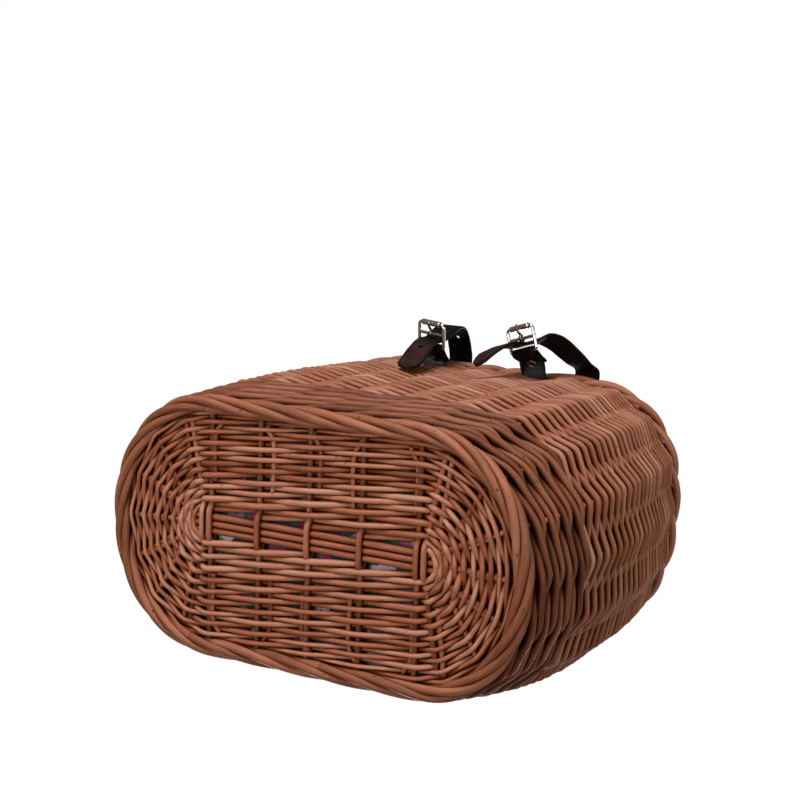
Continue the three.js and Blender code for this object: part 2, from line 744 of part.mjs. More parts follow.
// Section frames along a strap, two to every station.
function strapFrames(stations) {
  const curve = new THREE.CatmullRomCurve3(stations.map((s) => s.place), false, 'centripetal');
  const steps = (stations.length - 1) * 2;
  const frames = [];
  for (let i = 0; i <= steps; i += 1) {
    const here = stations[Math.floor(i / 2)];
    const next = stations[Math.min(Math.floor(i / 2) + 1, stations.length - 1)];
    const along = curve.getTangent(i / steps);
    const width = here.width.clone().lerp(next.width, (i % 2) / 2);
    width.addScaledVector(along, -width.dot(along)).normalize();
    frames.push({ centre: curve.getPoint(i / steps), along, width, face: width.clone().cross(along) });
  }
  return frames;
}

const TIP_ROUNDING = [0.97, 0.87, 0.66, 0.32];

function strap(spec) {
  const frames = strapFrames(strapStations(spec));
  const sections = frames.map(({ centre, width, face }, i) => {
    const fromTip = i - (frames.length - TIP_ROUNDING.length);
    const half = (STRAP_WIDTH / 2) * (fromTip < 0 ? 1 : TIP_ROUNDING[fromTip]);
    const thick = STRAP_THICKNESS / 2;
    return [[-1, -1], [-1, 1], [1, 1], [1, -1]].map(([w, n]) => {
      return centre.clone().addScaledVector(width, w * half).addScaledVector(face, n * thick);
    });
  });
  const chape = chapeAxes(spec.seat, spec.foot);
  const cutters = [drill(chape.spot(RIVET_PLACE, 0), chape.front, RIVET_SHANK + GAP, 8)];
  spec.holes.forEach((place) => {
    const frame = frames[place];
    cutters.push(drill(frame.centre, frame.face, HOLE_RADIUS, 4));
  });
  return pierce(sweep(sections, false), cutters);
}

function turnTo(geometry, centre, axis) {
  const up = new THREE.Vector3(0, 1, 0);
  geometry.applyQuaternion(new THREE.Quaternion().setFromUnitVectors(up, axis));
  return geometry.translate(centre.x, centre.y, centre.z);
}

function drill(centre, axis, radius, length) {
  return turnTo(new THREE.CylinderGeometry(radius, radius, length, 10), centre, axis);
}

function rivet({ seat, foot }) {
  const chape = chapeAxes(seat, foot);
  const grip = STRAP_THICKNESS + GAP / 2 + GAP;
  const profile = [
    [0, -grip - RIVET_HEAD_RISE],
    [RIVET_HEAD_RADIUS * 0.7, -grip - RIVET_HEAD_RISE * 0.7],
    [RIVET_HEAD_RADIUS, -grip],
    [RIVET_SHANK, -grip],
    [RIVET_SHANK, grip],
    [RIVET_HEAD_RADIUS, grip],
    [RIVET_HEAD_RADIUS * 0.7, grip + RIVET_HEAD_RISE * 0.7],
    [0, grip + RIVET_HEAD_RISE],
  ].map(([r, y]) => new THREE.Vector2(r, y));
  const body = new THREE.LatheGeometry(profile, 12).deleteAttribute('normal').deleteAttribute('uv');
  const welded = mergeVertices(body, 1e-4);
  return turnTo(fromManifold(toManifold(welded)), chape.spot(RIVET_PLACE, 0), chape.front);
}

const leftStrap = {
  seat: new BuckleSeat(fromBorder([35.8, 31.3, -34.4]), [-0.964, -0.047, -0.261], [-0.02, 0.994, -0.107]),
  foot: fromBorder([41.5, 8.5, -19.5]),
  arc: [40, 35],
  loop: [
    { place: fromBorder([35, 8, 12.5]) },
    { place: fromBorder([35.8, 16.2, 12]) },
    { place: fromBorder([36.5, 24.5, 9.5]) },
    { place: fromBorder([36.2, 30.8, 4]) },
    { place: fromBorder([35, 33.8, -4.5]) },
    { place: fromBorder([34.6, 32.8, -14]) },
    { place: fromBorder([34.4, 29.8, -23]) },
  ],
  tail: [
    { place: fromBorder([35.5, 22.6, -50.4]) },
    { place: fromBorder([33, 18.8, -63]) },
    { place: fromBorder([30.4, 15.9, -73.5]) },
    { place: fromBorder([28.4, 14.3, -80.5]) },
    { place: fromBorder([26.6, 13.3, -86.5]) },
  ],
  holes: [46, 62],
  notchMargins: [4.5, 4.5],
};

const rightStrap = {
  seat: new BuckleSeat(fromBorder([-36, 34.6, -34]), [-0.911, 0.309, -0.274], [0.3, 0.952, 0.075]),
  foot: fromBorder([-39.4, 8.5, -18.5]),
  arc: [-41, -66],
  loop: [
    { place: fromBorder([-68.5, 9, 11]) },
    { place: fromBorder([-66, 16, 1.2]) },
    { place: fromBorder([-60.5, 23.4, -5.9]), width: [-0.95, 0.2, -0.1] },
    { place: fromBorder([-53, 31, -12.7]), width: [-0.85, 0.4, -0.2] },
    { place: fromBorder([-46, 33.6, -18.4]), width: [-0.85, 0.42, -0.28] },
    { place: fromBorder([-41, 32.2, -25]), width: [-0.9, 0.35, -0.28] },
  ],
  tail: [
    { place: fromBorder([-31.5, 31.2, -51.5]) },
    { place: fromBorder([-27.3, 28.2, -60]) },
    { place: fromBorder([-23.7, 24.8, -64.8]) },
    { place: fromBorder([-20.5, 21.4, -67.5]) },
    { place: fromBorder([-17.4, 18, -69.6]) },
  ],
  holes: [44, 60],
  notchMargins: [9.5, 4.5],
};

[['left', leftStrap], ['right', rightStrap]].forEach(([side, spec]) => {
  add(`strap_${side}`, strap(spec), LEATHER);
  add(`rivet_${side}`, rivet(spec), NICKEL);
  add(`buckle_frame_${side}`, buckleFrame(spec.seat), NICKEL);
  add(`buckle_roller_${side}`, roller(spec.seat), NICKEL);
  add(`buckle_prong_${side}`, prong(spec.seat), NICKEL);
});

// The randing, notched under the border where the straps come through.
const notches = [leftStrap, rightStrap].map(({ foot, notchMargins }) => {
  const width = STRAP_WIDTH + notchMargins[0] + notchMargins[1];
  const middle = foot[0] + (notchMargins[1] - notchMargins[0]) / 2;
  const notch = new THREE.BoxGeometry(width, 40, STRAP_NOTCH_HEIGHT);
  const lift = BORDER_HEIGHT - STRAP_NOTCH_DROP + STRAP_NOTCH_HEIGHT / 2;
  return notch.translate(middle, SWING_AXIS.y + BORDER_RADIUS, lift);
});
add('side_weave', pierce(randing(), notches), WILLOW);

basket.children.forEach((mesh) => mesh.geometry.translate(0, -FRAME_SHIFT, 0));

export default basket;
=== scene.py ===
# %% [markdown]
# # A willow handlebar basket
# The basket is woven from round willow rods over upright stakes, lined with printed cotton, and
# hung by two buckled leather straps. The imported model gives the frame: every piece made here rides
# on one of its bodies and stands for the solids that it replaces.

# %% Load the frame
import math

import bpy
import numpy as np
from mathutils import Matrix, Vector


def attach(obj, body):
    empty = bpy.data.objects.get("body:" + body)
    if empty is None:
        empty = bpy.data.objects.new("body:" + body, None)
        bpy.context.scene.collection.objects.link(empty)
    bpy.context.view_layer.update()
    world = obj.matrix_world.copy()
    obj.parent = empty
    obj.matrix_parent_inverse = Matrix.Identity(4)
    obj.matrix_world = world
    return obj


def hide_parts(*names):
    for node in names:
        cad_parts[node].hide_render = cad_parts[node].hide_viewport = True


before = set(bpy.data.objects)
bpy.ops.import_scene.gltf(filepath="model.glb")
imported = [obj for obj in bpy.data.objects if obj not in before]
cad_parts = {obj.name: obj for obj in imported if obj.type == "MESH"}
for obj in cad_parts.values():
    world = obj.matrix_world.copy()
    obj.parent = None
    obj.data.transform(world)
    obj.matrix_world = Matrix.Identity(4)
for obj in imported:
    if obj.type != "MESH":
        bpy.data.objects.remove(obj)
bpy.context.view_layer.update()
scene = bpy.context.scene


# %% [markdown]
# ## Small tools
# Each step below adds objects, meshes or shader nodes, so the calls that repeat come first. A number
# that nodes work out is wrapped, so that a finish can be written as ordinary sums.


# %% Helpers for objects and meshes
def add_object(name, data):
    made = bpy.data.objects.new(name, data)
    scene.collection.objects.link(made)
    return made


def add_mesh(name, points, edges, faces):
    """An object with a mesh of its own, from points in metres."""
    mesh = bpy.data.meshes.new(name)
    mesh.from_pydata([tuple(p) for p in points], edges, faces)
    return add_object(name, mesh)


def add_values(mesh, values):
    """A number for every point of the mesh, under each name."""
    for name, numbers in values.items():
        layer = mesh.attributes.new(name, "FLOAT", "POINT")
        layer.data.foreach_set("value", np.asarray(numbers, np.float32))


def tube_faces(rows, count):
    """Four-sided faces between rings of points, row after row."""
    return [
        (r * count + i, (r + 1) * count + i, (r + 1) * count + k, r * count + k)
        for r in range(rows - 1)
        for i, k in zip(range(count), [*range(1, count), 0])
    ]


def unit(vectors):
    vectors = np.asarray(vectors, float)
    return vectors / np.linalg.norm(vectors, axis=-1, keepdims=True)


def runs_along(points):
    """Length from the first point of a line to each of its points."""
    steps = np.linalg.norm(np.diff(points, axis=0), axis=1)
    return np.concatenate([[0.0], np.cumsum(steps)])


def made_plain(piece):
    """Works a piece's modifiers into its mesh."""
    graph = bpy.context.evaluated_depsgraph_get()
    old, plain = piece.data, bpy.data.meshes.new_from_object(piece.evaluated_get(graph))
    piece.modifiers.clear()
    piece.data = plain
    bpy.data.meshes.remove(old)
    plain.name = piece.name


# %% Sums in node trees
class Value:
    """A number that nodes work out, which adds and multiplies like any other."""

    def __init__(self, tree, socket):
        self.tree, self.socket = tree, socket

    def then(self, operation, *others):
        made = self.tree.nodes.new("ShaderNodeMath")
        made.operation = operation
        for socket, value in zip(made.inputs, (self, *others)):
            fill(self.tree, socket, value)
        return Value(self.tree, made.outputs[0])

    def __add__(self, other):
        return self.then("ADD", other)

    def __sub__(self, other):
        return self.then("SUBTRACT", other)

    def __mul__(self, other):
        return self.then("MULTIPLY", other)


def fill(tree, socket, value):
    """Links an output to a socket, or sets the socket to a plain value."""
    if isinstance(value, Value):
        value = value.socket
    if isinstance(value, bpy.types.NodeSocket):
        tree.links.new(value, socket)
    else:
        socket.default_value = value


def add_node(tree, kind, **sockets):
    """A node with values or links for its named inputs."""
    made = tree.nodes.new(kind)
    for name, value in sockets.items():
        fill(tree, made.inputs[name.replace("_", " ")], value)
    return made


def read(tree, kind, output, **sockets):
    """One output of a new node."""
    return Value(tree, add_node(tree, kind, **sockets).outputs[output])


# %% Textures, colours and shaders
def noise(tree, place, **sockets):
    return read(tree, "ShaderNodeTexNoise", "Fac", Vector=place, **sockets)


def from_attribute(tree, name):
    made = tree.nodes.new("ShaderNodeAttribute")
    made.attribute_name = name
    return Value(tree, made.outputs["Fac"])


def vector_sum(tree, operation, output, *vectors):
    made = tree.nodes.new("ShaderNodeVectorMath")
    made.operation = operation
    for socket, vector in zip(made.inputs, vectors):
        fill(tree, socket, vector)
    return Value(tree, made.outputs[output])


def ramp(tree, source, *stops):
    """Colours at stops along a source. A plain number stands for a grey."""
    made = add_node(tree, "ShaderNodeValToRGB", Fac=source)
    while len(made.color_ramp.elements) < len(stops):
        made.color_ramp.elements.new(0.5)
    for element, (place, colour) in zip(made.color_ramp.elements, stops):
        element.position = place
        element.color = (*(colour if isinstance(colour, tuple) else (colour,) * 3), 1.0)
    return Value(tree, made.outputs[0])


def mix_colour(tree, factor, first, second):
    """The first colour where the factor is 0 and the second where it is 1."""
    made = tree.nodes.new("ShaderNodeMix")
    made.data_type = "RGBA"
    made.clamp_factor = True
    for place, value in ((0, factor), (6, first), (7, second)):
        fill(tree, made.inputs[place], (*value, 1.0) if isinstance(value, tuple) else value)
    return Value(tree, made.outputs[2])


def mix_shader(tree, factor, first, second, output):
    """Shows the first shader where the factor is 0 and the second where it is 1."""
    made = tree.nodes.new("ShaderNodeMixShader")
    for socket, value in zip(made.inputs, (factor, first.outputs[0], second.outputs[0])):
        fill(tree, socket, value)
    tree.links.new(made.outputs[0], tree.nodes[output].inputs[0])


def fresh_material(name):
    material = bpy.data.materials.new(name)
    material.use_nodes = True
    tree = material.node_tree
    return material, tree, tree.nodes["Principled BSDF"]


def dress(tree, shader, relief, strength, depth, **sockets):
    """Fills the shader's inputs and gives it a bump from a relief."""
    bump = read(tree, "ShaderNodeBump", "Normal", Strength=strength, Distance=depth, Height=relief)
    for name, value in {"Normal": bump, **sockets}.items():
        fill(tree, shader.inputs[name.replace("_", " ")], value)


# %% [markdown]
# ## Camera, floor and light
# The picture was taken from below and behind, with the foot of the basket toward the lens and the
# strap side up. The camera's axes are written as a matrix, which says the roll as well as the aim.
# The pale floor lies under the foot, so it shows only from above: seen from beneath it lets the
# view through. It fades into the white backdrop a little way out, like a studio sweep.

# %% Camera
camera_data = bpy.data.cameras.new("photo_camera")
camera_data.lens = 77.64
camera_data.sensor_width = 36.0
camera_data.clip_end = 20.0
camera = add_object("photo_camera", camera_data)
across = Vector((-0.8717, 0.0357, 0.4887))
upward = Vector((0.1133, 0.9850, 0.1301))
toward = Vector((-0.4768, 0.1688, -0.8627))
turn = Matrix((across, upward, toward)).transposed().to_4x4()
camera.matrix_world = Matrix.Translation((-0.5460, 0.26281, -0.8749)) @ turn
scene.camera = camera
print("camera stands", round(camera.matrix_world.translation.length, 3), "m from the basket's foot")

# %% Floor
FLOOR_HALF = 4
FADE_FROM, FADE_TO = 0.3, 0.85
corners = [(x * FLOOR_HALF, y * FLOOR_HALF, 0) for x, y in ((-1, -1), (1, -1), (1, 1), (-1, 1))]
floor = add_mesh("floor", corners, [], [(0, 1, 2, 3)])
floor.visible_diffuse = floor.visible_glossy = False
floor.visible_transmission = floor.visible_shadow = False
floor_paint, tree, shader = fresh_material("pale_floor")
mottle = read(tree, "ShaderNodeTexNoise", "Fac", Scale=3.0)
fill(tree, shader.inputs["Base Color"], ramp(tree, mottle, (0.3, 0.83), (0.7, 0.87)))
shader.inputs["Roughness"].default_value = 0.9
spot = read(tree, "ShaderNodeTexCoord", "Object")
far = ramp(tree, vector_sum(tree, "LENGTH", "Value", spot), (FADE_FROM, 0.0), (FADE_TO, 1.0))
from_below = read(tree, "ShaderNodeNewGeometry", "Backfacing")
clear = tree.nodes.new("ShaderNodeBsdfTransparent")
mix_shader(tree, from_below.then("MAXIMUM", far), shader, clear, "Material Output")
floor.data.materials.append(floor_paint)
print("floor fades out", FADE_FROM, "to", FADE_TO, "m from the basket")

# %% Sky and lamps
sky = bpy.data.worlds.new("studio")
scene.world = sky
sky.use_nodes = True
tree = sky.node_tree
backdrop = tree.nodes["Background"]
backdrop.inputs["Color"].default_value = (1.0, 1.0, 1.0, 1.0)
backdrop.inputs["Strength"].default_value = 1.0
fill_light = add_node(tree, "ShaderNodeBackground", Color=(1.0, 0.985, 0.96, 1.0), Strength=0.17)
seen = read(tree, "ShaderNodeLightPath", "Is Camera Ray")
mix_shader(tree, seen, fill_light, backdrop, "World Output")
WHITE, COOL = (1.0, 1.0, 1.0), (0.93, 1.0, 1.12)
for name, place, aim, size, power, colour in (
    ("strap_side_key", (0.1, 1.5, -0.35), (0.0, 0.05, 0.12), 0.8, 25.0, COOL),
    ("foot_fill", (0.1, 0.35, -1.5), (0.0, 0.0, 0.05), 1.0, 16.0, WHITE),
    ("end_fill", (-1.35, 0.25, -0.1), (0.0, 0.0, 0.1), 0.9, 8.0, WHITE),
    ("overhead", (0.2, -0.5, 1.7), (0.0, 0.0, 0.15), 1.2, 26.0, WHITE),
    ("front_fill", (0.9, -1.5, 0.8), (0.0, 0.0, 0.12), 1.0, 16.0, WHITE),
):
    light = bpy.data.lights.new(name, "AREA")
    light.shape = "DISK"
    light.size, light.energy, light.color = size, power, colour
    lamp = add_object(name, light)
    lamp.location = place
    lamp.rotation_euler = (Vector(aim) - Vector(place)).to_track_quat("-Z", "Y").to_euler()
scene.view_settings.view_transform = "Standard"
scene.view_settings.gamma = 0.9

# %% [markdown]
# ## The oval of the wall
# Everything woven follows the wall, so its outline comes first: an oval that swells at half height
# and has a flatter back. A table of points by height and by share of the way round is worked out
# once, and every rod asks it for places. Share 0 is the +X end and 1/4 the middle of the back.
# Lengths stay in millimetres until a mesh is made. Each size below is given at the foot, with its
# change up to the rim and its swell at half height.

# %% Outline table
MM = 0.001
BACK_SHIFT = -6.79
STAKES = 24
BORDER_HEIGHT = 256.0
FOOT_LEVEL = 6.0
WALL_RISE = 256.0
AROUND = 960
LEVEL = 4.0
HALF_LENGTH = (152.0, -4.0, 12.0)
FRONT_DEPTH = (86.0, 18.0, 12.0)
BACK_DEPTH = (86.0, -2.5, 3.0)
STRAIGHT = (74.0, -6.5, 0.0)
SQUARENESS = (2.07, 0.25, 0.0)
LEAN_FROM, LEAN_RISE, LEAN_ASIDE = 170.0, 86.0, 10.5


def half_outline(length, straight, width, power):
    angle = np.linspace(0.0, np.pi / 2, 61)
    cosine = np.clip(np.cos(angle), 0.0, 1.0)
    x = straight + (length - straight) * cosine ** power
    y = width * np.sin(angle) ** power
    x[-1] = straight
    points = np.concatenate([np.c_[x, y], np.c_[-x, y][::-1]])
    return points, runs_along(points)


def outline(height, shares):
    t = (height - FOOT_LEVEL) / WALL_RISE
    swell = 4.0 * t * (1.0 - t)
    length, front, back, straight, squareness = (
        foot + change * t + bulge * swell
        for foot, change, bulge in (HALF_LENGTH, FRONT_DEPTH, BACK_DEPTH, STRAIGHT, SQUARENESS)
    )
    shares = np.mod(shares, 1.0)
    places = np.zeros((len(shares), 2))
    for side, rear in ((back, True), (-front, False)):
        points, runs = half_outline(length, straight, side, 2.0 / squareness)
        chosen = (shares < 0.5) == rear
        part = np.where(rear, shares * 2.0, 2.0 - shares * 2.0)[chosen] * runs[-1]
        places[chosen, 0] = np.interp(part, runs, points[:, 0])
        places[chosen, 1] = np.interp(part, runs, points[:, 1])
    return places


# %% Places on the wall
levels = np.arange(0.0, 284.1, LEVEL)
shares = np.arange(AROUND + 1) / AROUND
wall_places = np.array([outline(z, shares) for z in levels])
steps = unit([outline(z, shares + 0.004) - outline(z, shares - 0.004) for z in levels])
wall_inward = np.stack([-steps[..., 1], steps[..., 0]], axis=2)
girths = np.linalg.norm(np.diff(wall_places, axis=1), axis=2).sum(axis=1)


def wall(share, height, inset):
    """Points at a share of the way round, drawn in square to the outline."""
    given = (np.asarray(v, float) for v in (share, height, inset))
    share, height, inset = np.broadcast_arrays(*given)
    column = np.mod(share, 1.0) * AROUND
    i = np.minimum(column.astype(int), AROUND - 1)
    row = np.clip(height / LEVEL, 0.0, len(levels) - 1.001)
    j = row.astype(int)
    f, g = (column - i)[..., None], (row - j)[..., None]

    def between(table):
        low = table[j, i] * (1 - f) + table[j, i + 1] * f
        high = table[j + 1, i] * (1 - f) + table[j + 1, i + 1] * f
        return low * (1 - g) + high * g

    flat = between(wall_places) + between(wall_inward) * inset[..., None]
    return np.concatenate([flat + (0.0, BACK_SHIFT), height[..., None]], axis=-1)


def stake_lean(stake, height):
    """The stakes beside the straps lean aside near the rim."""
    rise = np.maximum(0.0, height - LEAN_FROM) / LEAN_RISE
    girth = np.interp(height, levels, girths)
    side = np.where(stake % STAKES == 5, 1.0, np.where(stake % STAKES == 7, -1.0, 0.0))
    return side * LEAN_ASIDE * rise ** 2 / girth


def stake_share(count, height):
    """Share of the way round for a place counted in stakes, whole numbers on the stakes."""
    count, height = np.broadcast_arrays(np.asarray(count, float), np.asarray(height, float))
    low = np.floor(count).astype(int)
    part = count - low
    lean = stake_lean(low, height) * (1 - part), stake_lean(low + 1, height) * part
    return count / STAKES + lean[0] + lean[1]


girth_notes = [round(float(np.interp(z, levels, girths))) for z in (6, 130, 256)]
print("girth at the foot, middle and rim:", girth_notes, "mm")

# %% [markdown]
# ## One tree for every rod
# A rod is a line with a thickness, so each woven band is kept as plain edges with a radius on every
# point, and one Geometry Nodes tree turns any such set of lines into round rods. Sweeping a circle
# in Python would work too, but the tree keeps the sections square to the path and caps the cut ends.
# Lengths along the rod and the turn round it go with the mesh, so that bark and grain can follow
# each rod through all its bends.


# %% Rod tree
def willow_rod_tree():
    tree = bpy.data.node_groups.new("willow_rods", "GeometryNodeTree")
    face = tree.interface
    face.new_socket("Geometry", in_out="INPUT", socket_type="NodeSocketGeometry")
    sides = face.new_socket("Sides", in_out="INPUT", socket_type="NodeSocketInt")
    finish = face.new_socket("Finish", in_out="INPUT", socket_type="NodeSocketMaterial")
    face.new_socket("Geometry", in_out="OUTPUT", socket_type="NodeSocketGeometry")
    start = tree.nodes.new("NodeGroupInput")
    end = tree.nodes.new("NodeGroupOutput")
    thick = tree.nodes.new("GeometryNodeInputNamedAttribute")
    thick.data_type = "FLOAT"
    thick.inputs["Name"].default_value = "rod_radius"
    lines = add_node(tree, "GeometryNodeMeshToCurve", Mesh=start.outputs["Geometry"])
    ring = add_node(
        tree, "GeometryNodeCurvePrimitiveCircle", Resolution=start.outputs["Sides"], Radius=1.0
    )
    share = tree.nodes.new("GeometryNodeSplineParameter")
    marked = add_node(
        tree, "GeometryNodeStoreNamedAttribute", Geometry=ring.outputs["Curve"], Name="rod_turn"
    )
    fill(tree, marked.inputs["Value"], share.outputs["Factor"])
    swept = add_node(
        tree,
        "GeometryNodeCurveToMesh",
        Curve=lines.outputs["Curve"],
        Profile_Curve=marked.outputs["Geometry"],
        Scale=thick.outputs["Attribute"],
        Fill_Caps=True,
    )
    rods = swept.outputs["Mesh"]
    for kind in ("SetShadeSmooth", "RealizeInstances", "SetMaterial"):
        made = add_node(tree, "GeometryNode" + kind, Geometry=rods)
        rods = made.outputs["Geometry"]
    fill(tree, made.inputs["Material"], start.outputs["Finish"])
    fill(tree, end.inputs["Geometry"], rods)
    return tree, sides.identifier, finish.identifier


rod_tree, SIDES_INPUT, FINISH_INPUT = willow_rod_tree()
print("rod tree:", len(rod_tree.nodes), "nodes")

# %% Rod bundles
CUT_END = 0.35


class RodBundle:
    """Centre lines of rods, with a radius and a shade for each."""

    def __init__(self):
        self.points, self.edges = [], []
        self.radius, self.run, self.tint, self.tip = [], [], [], []

    def add(self, line, radius, tint, ring=False):
        line = np.asarray(line, float)
        radius = np.broadcast_to(np.asarray(radius, float), len(line)).copy()
        for end, near in () if ring else ((0, 1), (-1, -2)):
            step = line[near] - line[end]
            share = min(CUT_END / max(np.linalg.norm(step), 1e-6), 0.4)
            at = 1 if end == 0 else len(line) - 1
            line = np.insert(line, at, line[end] + step * share, axis=0)
            radius = np.insert(radius, at, radius[end])
        first = len(self.points)
        self.points.extend(line * MM)
        self.edges.extend((first + i, first + i + 1) for i in range(len(line) - 1))
        if ring:
            self.edges.append((first + len(line) - 1, first))
        self.radius.extend(radius * MM)
        self.run.extend(runs_along(line) * MM)
        self.tint.extend([tint] * len(line))
        tip = np.zeros(len(line))
        tip[[0, -1]] = 0.0 if ring else 1.0
        self.tip.extend(tip)

    def make(self, name, finish, sides=8):
        piece = add_mesh(name, self.points, self.edges, [])
        for part in ("radius", "run", "tint", "tip"):
            add_values(piece.data, {"rod_" + part: getattr(self, part)})
        rods = piece.modifiers.new("rods", "NODES")
        rods.node_group = rod_tree
        rods[SIDES_INPUT] = sides
        rods[FINISH_INPUT] = finish
        made_plain(piece)
        piece.data.calc_loop_triangles()
        print(name, "has", len(piece.data.loop_triangles), "triangles")
        return piece


# %% [markdown]
# ## Willow
# Buff willow is boiled in its bark, so it is a warm red brown, with each rod its own tone, fine
# streaks along the grain, darker scuffs and small black specks. The streaks are noise drawn out
# along the rod: length runs slowly through the noise and the turn round the rod runs fast. Places
# shut in where rods press together get painted shade: an occlusion node turns them darker and
# richer.

# %% Willow finish
# Reach of the occlusion test that paints shade between the rods.
PAINTED_SHADE_REACH = 0.009
SHADE_SPREAD = 37.0
CUT_WOOD = (0.45, 0.25, 0.14)


def painted_hollow_shade(tree, reach):
    """How shut in a place is, from 0 in the open to near 1 deep between the rods; it masks painted
    shade.
    """
    shade = add_node(tree, "ShaderNodeAmbientOcclusion", Distance=reach)
    shade.samples = 6
    return ramp(tree, shade.outputs["AO"], (0.12, 0.92), (0.8, 0.0))


def willow_finish(name, deep, middle, pale, speck, painted_shade_colour):
    material, tree, shader = fresh_material(name)
    parts = ("run", "turn", "tint", "tip")
    run, turn, tint, tip = (from_attribute(tree, "rod_" + part) for part in parts)
    angle = turn * (2.0 * math.pi)
    cosine, sine, shift = angle.then("COSINE"), angle.then("SINE"), tint * SHADE_SPREAD

    def along_rod(stretch, girth):
        """Places for a texture that is drawn out along the rod."""
        x, y, z = run * stretch + shift, cosine * girth, sine * girth
        return read(tree, "ShaderNodeCombineXYZ", 0, X=x, Y=y, Z=z)

    grain = noise(tree, along_rod(45.0, 1.0), Scale=2.4, Detail=4.0, Roughness=0.65)
    patch = noise(tree, along_rod(22.0, 0.4), Scale=1.3, Detail=3.0, Roughness=0.6)
    place = along_rod(260.0, 0.9)
    specks = read(tree, "ShaderNodeTexVoronoi", "Distance", Vector=place, Scale=0.55)
    mixed = tint * 0.55 + (grain * 0.3 + patch * 0.35)
    colour = ramp(tree, mixed, (0.28, deep), (0.55, middle), (0.85, pale))
    dots = ramp(tree, specks, (0.09, 1.0), (0.16, 0.0))
    rare = ramp(tree, patch, (0.5, 0.0), (0.6, 1.0))
    colour = mix_colour(tree, dots * rare * 0.8, colour, speck)
    colour = mix_colour(tree, tip, colour, CUT_WOOD)
    # Painted shade: places shut in between the rods turn toward a near-black brown and grow more
    # saturated.
    painted_shade_mask = painted_hollow_shade(tree, PAINTED_SHADE_REACH)
    colour = mix_colour(tree, painted_shade_mask, colour, painted_shade_colour)
    shade_saturation = painted_shade_mask * 0.4 + 0.955
    colour = read(tree, "ShaderNodeHueSaturation", 0, Saturation=shade_saturation, Color=colour)
    gloss = ramp(tree, grain, (0.3, 0.42), (0.75, 0.62))
    shader.inputs["Specular IOR Level"].default_value = 0.18
    dress(tree, shader, grain, 0.35, 0.0004, Base_Color=colour, Roughness=gloss)
    return material


# The wall's willow is a little darker in its middle and pale tones than the base's: painted shade
# for the wall, which gets less light.
wall_willow = willow_finish(
    "wall_willow",
    deep=(0.130, 0.034, 0.010),
    middle=(0.320, 0.112, 0.052),
    pale=(0.475, 0.232, 0.145),
    speck=(0.020, 0.006, 0.003),
    # The colour of the painted shade between the rods.
    painted_shade_colour=(0.030, 0.003, 0.0008),
)
base_willow = willow_finish(
    "base_willow",
    deep=(0.120, 0.027, 0.008),
    middle=(0.340, 0.107, 0.047),
    pale=(0.505, 0.232, 0.142),
    speck=(0.015, 0.004, 0.002),
    # The colour of the painted shade between the rods.
    painted_shade_colour=(0.022, 0.002, 0.0006),
)
print("willow finishes:", wall_willow.name, base_willow.name)

# %% [markdown]
# ## Side weave
# The wall is randed: each rod goes in front of one stake and behind the next, and the row above does
# the opposite. A willow rod is stiff, so it runs straight from stake to stake and has a short knee
# at each. A line through the knees with rounded corners gives that, where a sine would look limp.
# Rods are thinner toward the rim, as a maker picks them. Near the rim they end at the stakes beside
# the straps, which go through the wall there.

# %% Side weave rods
STAKE_INSET = 5.6
STAKE_RADIUS = 1.9
WALE_TOP = 73.6
RANDING_TOP = 247.0
STRAP_GAP_FOOT = 232.0
WIDEST_PITCH = 5.4
RADIUS_TO_PITCH = 0.445
BETWEEN_STRAPS = np.array([4.95, 5.0, 6.0, 7.0, 7.05])
ROUND_THE_REST = np.concatenate([[7.74], np.arange(8.0, 29.0), [28.26]])
chance = np.random.default_rng(11)


def any_turn(count=None):
    return chance.uniform(0, 6.28, count)


def slow_wander(count, phases, size):
    turn = 2.0 * np.pi * count / STAKES
    waves = zip((2, 5, 9), (0.5, 0.3, 0.2), phases)
    return size * sum(np.sin(often * turn + phase) * share for often, share, phase in waves)


def kneed(knots, share=0.1):
    """A line through knots, straight between them, with each knot rounded to a short bend."""
    knots = np.asarray(knots, float)
    inner = knots[1:-1]
    before = inner + (knots[:-2] - inner) * share
    after = inner + (knots[2:] - inner) * share
    t = np.array([0.0, 0.25, 0.5, 0.75, 1.0])[None, :, None]
    pull = (1 - t) ** 2, 2 * t * (1 - t), t * t
    bends = sum(share * line[:, None] for share, line in zip(pull, (before, inner, after)))
    return np.concatenate([knots[:1], bends.reshape(-1, knots.shape[1]), knots[-1:]])


side_rods = RodBundle()
height = WALE_TOP + 1.6
shared_phases = any_turn(3)
row = 0
while height < RANDING_TOP - 1.0:
    climb = (height - WALE_TOP) / (RANDING_TOP - WALE_TOP)
    pitch = WIDEST_PITCH - 1.6 * climb - 1.3 * climb ** 3
    begin = int(chance.integers(0, 12)) * 2 + 1 + row % 2
    pieces = [np.arange(begin, begin + STAKES + 1.0)]
    if height > STRAP_GAP_FOOT:
        pieces = [BETWEEN_STRAPS, ROUND_THE_REST]
    phases, swing = any_turn(3), any_turn()
    tint = chance.uniform(0.3, 0.8)
    for count in pieces:
        wander = slow_wander(count, shared_phases, 0.5) + slow_wander(count, phases, 0.15)
        level = height + wander * (1.0 - 0.6 * climb)
        thick = pitch * RADIUS_TO_PITCH * (1.0 + 0.05 * np.sin(count * 0.52 + swing))
        side = np.cos(np.pi * (count + row))
        reach = (STAKE_RADIUS + thick) * 0.94 * (1.0 + 0.05 * np.sin(count * 1.7 + swing))
        inset = STAKE_INSET - reach * side
        line = kneed(np.c_[wall(stake_share(count, level), level, inset), thick])
        side_rods.add(line[:, :3], line[:, 3], tint)
    height += pitch
    row += 1
print("rows of randing:", row)
side_weave = side_rods.make("side_weave_rods", wall_willow, 8)

# %% [markdown]
# ## Waling
# Three rods at a time go in front of two stakes and behind one, each laid over the last, so every
# round shows two slanting strokes one above the other. The lower wall has four open rounds. The
# upsett at the foot is one round of four thick rods, which turn round each other like a slack rope.
# Rods are joined where they lie inside, out of sight.

